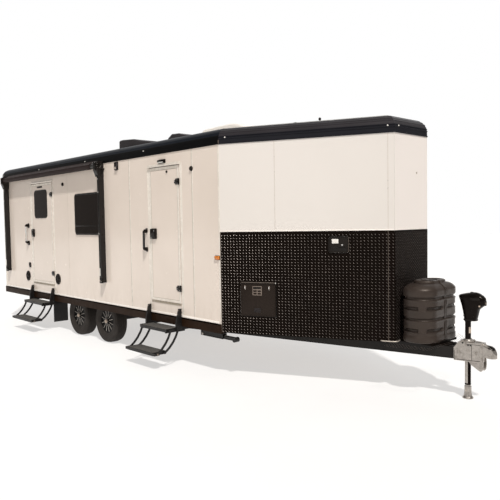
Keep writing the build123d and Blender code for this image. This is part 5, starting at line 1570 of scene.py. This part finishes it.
# ramp: perimeter extrusion, panel seams, cam bars with handles, hinge straps, blank plate and lamp
B.frame_ring(REAR, -1095, 1095, 784, 2696, 58, -0.5, 3.2, "white_frame", 10, 1.4)
for z in (1260, 1740, 2220):
    B.box(REAR, -1036, 1036, z - 2, z + 2, -0.5, 1.2, "sill", 0, 0.5)
for y in (-365, 365):
    B.box(REAR, y - 2, y + 2, 844, 2636, -0.5, 1.2, "sill", 0, 0.5)
for s in (-1, 1):
    y = s * 820
    for z in (900, 1400, 1900, 2400, 2620):
        B.slab(REAR, rect(y - 34, y + 34, z - 20, z + 20, 6), 2.6, 6, "zinc", 1.5)
        B.slab(REAR, rect(y - 16, y + 16, z - 14, z + 14, 5), 5, 23.5, "zinc", 4)
        for d in (-26, 26):
            B.screw(REAR, y + d, z, 5.5, 4.5, 2.2, "bright", 8)
    B.tube([W(-14.5, y, z) for z in (850, 860, 1700, 2650, 2668)], 8.5, "zinc", 14)
    B.tube(smooth_path([W(-14.5, y, 1500), W(-16, y - s * 60, 1498), W(-17, y - s * 150, 1490),
                        W(-17, y - s * 300, 1488)], 8), 7, "zinc", 12)
    B.tube([W(-17, y - s * 190, 1489.5), W(-17, y - s * 300, 1488)], 7.6, "rubber", 12)
    B.slab(REAR, rect(min(y - s * 250, y - s * 282), max(y - s * 250, y - s * 282), 1466, 1512, 5), 2.6, 12, "zinc", 3)
    B.slab(REAR, rect(y - s * 30 - 20, y - s * 30 + 20, 2340, 2372, 6), 2.6, 6, "zinc", 1.5)
    # grab loop low on the ramp
    B.tube(smooth_path([W(-3, s * 500, 905), W(-17, s * 500, 912), W(-17, s * 500, 960), W(-17, s * 500, 1008),
                        W(-3, s * 500, 1015)], 8), 7, "gloss", 10)
for y in (-900, -450, 0, 450, 900):
    B.slab(REAR, rect(y - 56, y + 56, 842, 900, 6), 2.6, 6.5, "zinc", 2)
    for d in (-38, 0, 38):
        B.bolt(REAR, y + d, 872, 6, 6, 5, "bright")
B.slab(REAR, rect(-170, 170, 960, 1130, 8), 2.6, 6, "gloss", 2)
B.slab(REAR, rect(-155, 155, 966, 1118, 6), 5.5, 7.5, "label", 1)
B.slab(REAR, rect(-60, 60, 1130, 1152, 7), 2.6, 20, "gloss", 5)
B.slab(REAR, rect(-44, 44, 1126, 1132, 2), 6, 18, "clear", 1.5)
B.done("ramp_door_fittings", "ramp_door")

# inner face of the ramp: frame, plywood face and gritted strips
B = Build()
RIN = Frame((45, 0, 0), (0, 1, 0), (0, 0, 1), (1, 0, 0))
B.frame_ring(RIN, -1092, 1092, 787, 2693, 46, -0.5, 2.5, "white_frame", 6, 1.2)
B.box(RIN, -1044, 1044, 836, 2644, -0.5, 1.8, "ply", 0, 0.8)
for i in range(17):
    z = 880 + 105 * i
    B.box(RIN, -1030, 1030, z, z + 26, 1.5, 4.2, "grip", 3, 1.4)
B.done("ramp_door_inner_face", "ramp_door")

# ---------------------------------------------------------------- driver's side
B = Build()
for x in (6560, 3300):
    B.slab(LEFT, rect(x - 44, x + 44, 1404, 1446, 6), -0.5, 7.6, "amber", 4)
B.slab(LEFT, rect(70, 158, 1404, 1446, 6), -0.5, 7.6, "red", 4)


def access(a0, a1, z0, z1, r=14, louvres=0, key="white_frame"):
    B.frame_ring(LEFT, a0 - 3, a1 + 3, z0 - 3, z1 + 3, 6, -0.5, 1.6, "rubber", r + 3, 0.6)
    B.frame_ring(LEFT, a0, a1, z0, z1, 18, -0.5, 5.2, key, r, 2)
    B.slab(LEFT, rect(a0 + 20, a1 - 20, z0 + 20, z1 - 20, max(r - 8, 3)), -0.5, 4.0, key, 1.6)
    for i in range(louvres):
        z = z0 + 40 + (z1 - z0 - 84) * i / max(louvres - 1, 1)
        # painted shade: a dark strip under each louvre
        B.slab(LEFT, rect(a0 + 36, a1 - 36, z - 7, z, 2), 3.5, 4.6, "rubber", 0.4)
        B.slab(LEFT, rect(a0 + 36, a1 - 36, z, z + 12, 5), 3.5, 7.8, key, 3)
    for a, z in ((a0 + 9, z0 + 9), (a1 - 9, z0 + 9), (a0 + 9, z1 - 9), (a1 - 9, z1 - 9)):
        B.screw(LEFT, a, z, 4.8, 4, 1.8, "bright", 8)


access(4160, 4700, 980, 1290, louvres=9)
access(4160, 4700, 2220, 2530, louvres=9)
access(5440, 5840, 860, 1260, louvres=4)
access(2050, 2330, 900, 1080, louvres=3)
access(2660, 2840, 1090, 1270, key="plastic")
access(820, 960, 1070, 1210, key="plastic")
access(500, 1000, 700, 960)
for a, z in ((2750, 1180), (890, 1140)):
    B.lathe(LEFT.at(a, z, 0), [(40, 3), (40, 6.4), (36, 7.8), (8, 7.9)], "gloss", 28)
for a in (560, 940):
    B.lathe(LEFT.at(a, 830, 0), [(12, 3.5), (12, 6.5), (9, 7.8), (2, 7.9)], "bright", 16)
B.lathe(LEFT.at(1500, 905, 0), [(48, -0.5), (48, 4), (44, 7), (10, 7.6)], "plastic", 32)
B.done("left_wall_fittings", "trailer")

# ---------------------------------------------------------------- underside
B = Build()
B.tube(smooth_path([W(700, 420, 660), W(780, 420, 632), W(1500, 420, 622), W(3000, 430, 618), W(4400, 430, 624),
                    W(4800, 430, 640), W(4900, 430, 690)], 8), 30, "plastic", 14)
for x in (1000, 1900, 2700, 3600, 4500):
    B.slab(Frame((x, 0, 0), (0, 1, 0), (0, 0, 1), (1, 0, 0)), rect(380, 470, 578, 668, 12), -6, 6, "zinc", 2, both=True)
B.tube(smooth_path([W(300, -500, 690), W(900, -505, 676), W(2000, -500, 682), W(3000, -498, 674), W(4400, -502, 682),
                    W(6000, -480, 676), W(7400, -250, 660), W(8350, -90, 600)], 8), 9, "rubber", 8)
B.tube(smooth_path([W(4300, 700, 686), W(5200, 700, 676), W(6200, 640, 680), W(7400, 350, 665), W(8350, 60, 590)], 8),
       6, "silver", 8)
# skid rollers, spring brackets and shackles at the axles
for cx in (3776, 2876):
    for s in (-1, 1):
        G = Frame((0, s * 925, 0), (1, 0, 0), (0, 0, 1), (0, s, 0))
        B.bolt(G, cx + 140, 391, 0, 16, 12, "zinc")
        B.slab(Frame((0, 0, 0), (1, 0, 0), (0, 1, 0), (0, 0, 1)), rect(cx + 60, cx + 220, min(s * 800, s * 885),
                                                                       max(s * 800, s * 885), 8), 428, 440, "frame", 2,
               both=True)
for s in (-1, 1):
    B.tube([W(150, s * 860, 520), W(150, s * 820, 520)], 34, "zinc", 20)
    S = Frame((1983, 0, 0), (0, 1, 0), (0, 0, 1), (-1, 0, 0))
    a0, a1 = min(s * 891, s * 1160), max(s * 891, s * 1160)
    B.slab(S, rect(a0 + 2, a1 - 2, 520, 558, 3), -0.5, 4, "zinc", 1.5)
    for a in (a0 + 24, (a0 + a1) / 2, a1 - 24):
        B.bolt(S, a, 539, 3.5, 8, 6, "bright")
    for a in (a0 + 12, a0 + 60, a0 + 108, a1 - 108, a1 - 60, a1 - 12):
        B.box(S, a - 3, a + 3, 125, 505, -0.5, 2.2, "rubber", 2, 1)
    B.box(S, a0, a1, 115, 127, -0.5, 3, "rubber", 3, 1.5)
B.done("underside_fittings", "trailer")
B = Build()
for s in (-1, 1):
    G = Frame((0, s * 1151, 0), (1, 0, 0), (0, 0, 1), (0, s, 0))
    for x in (6150, 6240, 6400, 6530):
        B.bolt(G, x, 492, 0, 8, 6, "steel")
    B.box(G, 6140, 6540, 436, 444, -0.5, 3, "steel", 0, 1.5)
    B.lathe(G.at(6165, 455, 0), [(18, -0.5), (18, 6), (14, 9), (4, 10)], "zinc", 20)
    E = Frame((6550, s * 1119, 472), (0, 1, 0), (0, 0, 1), (1, 0, 0))
    B.lathe(E, [(14, -0.5), (14, 20), (9, 22), (9, 34)], "zinc", 6)
B.done("stabiliser_details", "trailer")
for s, nm in ((-1, "right"), (1, "left")):
    B = Build()
    # gusset plate on the leg
    B.slab(Frame((0, s * 1119, 0), (1, 0, 0), (0, 0, 1), (0, s, 0)), [(6260, 449), (6420, 449), (6400, 441), (6280, 441)],
           -9, 9, "steel", 1.5, both=True)
    B.done(nm + "_stabiliser_gusset", nm + "_stabiliser_leg")

# ---------------------------------------------------------------- inside, seen past open doors
B = Build()
INR = Frame((0, -1174, 0), (1, 0, 0), (0, 0, 1), (0, 1, 0))
INL = Frame((0, 1174, 0), (1, 0, 0), (0, 0, 1), (0, -1, 0))
for F, skip in ((INR, ((5100, 5900), (1270, 2250))), (INL, ())):
    for x in range(620, 6500, 610):
        if any(a < x < b for a, b in skip):
            continue
        B.box(F, x - 20, x + 20, 812, 2750, -0.5, 3.0, "lining", 3, 1)
    for z in (812, 2738):
        for a, b in (((60, 1270), (2250, 5100), (5900, 6560)) if skip else ((60, 6560),)):
            B.box(F, a, b, z, z + 14, -0.5, 4, "silver", 2, 1.2)
    for x in range(380, 6500, 1220):
        if not any(a < x < b for a, b in skip):
            B.lathe(F.at(x, 900, 0), [(34, -0.5), (34, 3), (28, 4), (2, 4)], "zinc", 20)
FL = Frame((0, 0, 800), (1, 0, 0), (0, 1, 0), (0, 0, 1))
for x in range(1220, 8000, 1220):
    w = 1150 if x < 6500 else 1150 - (x - 6614) * 0.4975
    B.box(FL, x - 1.5, x + 1.5, -w, w, -0.3, 0.6, "plastic", 0, 0.2)
for y in (-700, 0, 700):
    B.box(FL, 90, 6500, y - 18, y + 18, -0.3, 2.4, "silver", 0, 1)
B.done("inner_lining_strips", "trailer")
B = Build()
CE = Frame((0, 0, 2925), (1, 0, 0), (0, 1, 0), (0, 0, -1))
for x in range(700, 7000, 1220):
    B.box(CE, x - 20, x + 20, -1040, 1040, -0.5, 3, "lining", 3, 1)
for x in (1300, 3200, 5100):
    B.slab(CE, rect(x - 150, x + 150, -60, 60, 20), -0.5, 16, "shroud_white", 5)
    B.slab(CE, rect(x - 130, x + 130, -44, 44, 16), 14, 22, "clear", 5)
B.done("ceiling_fittings", "trailer")
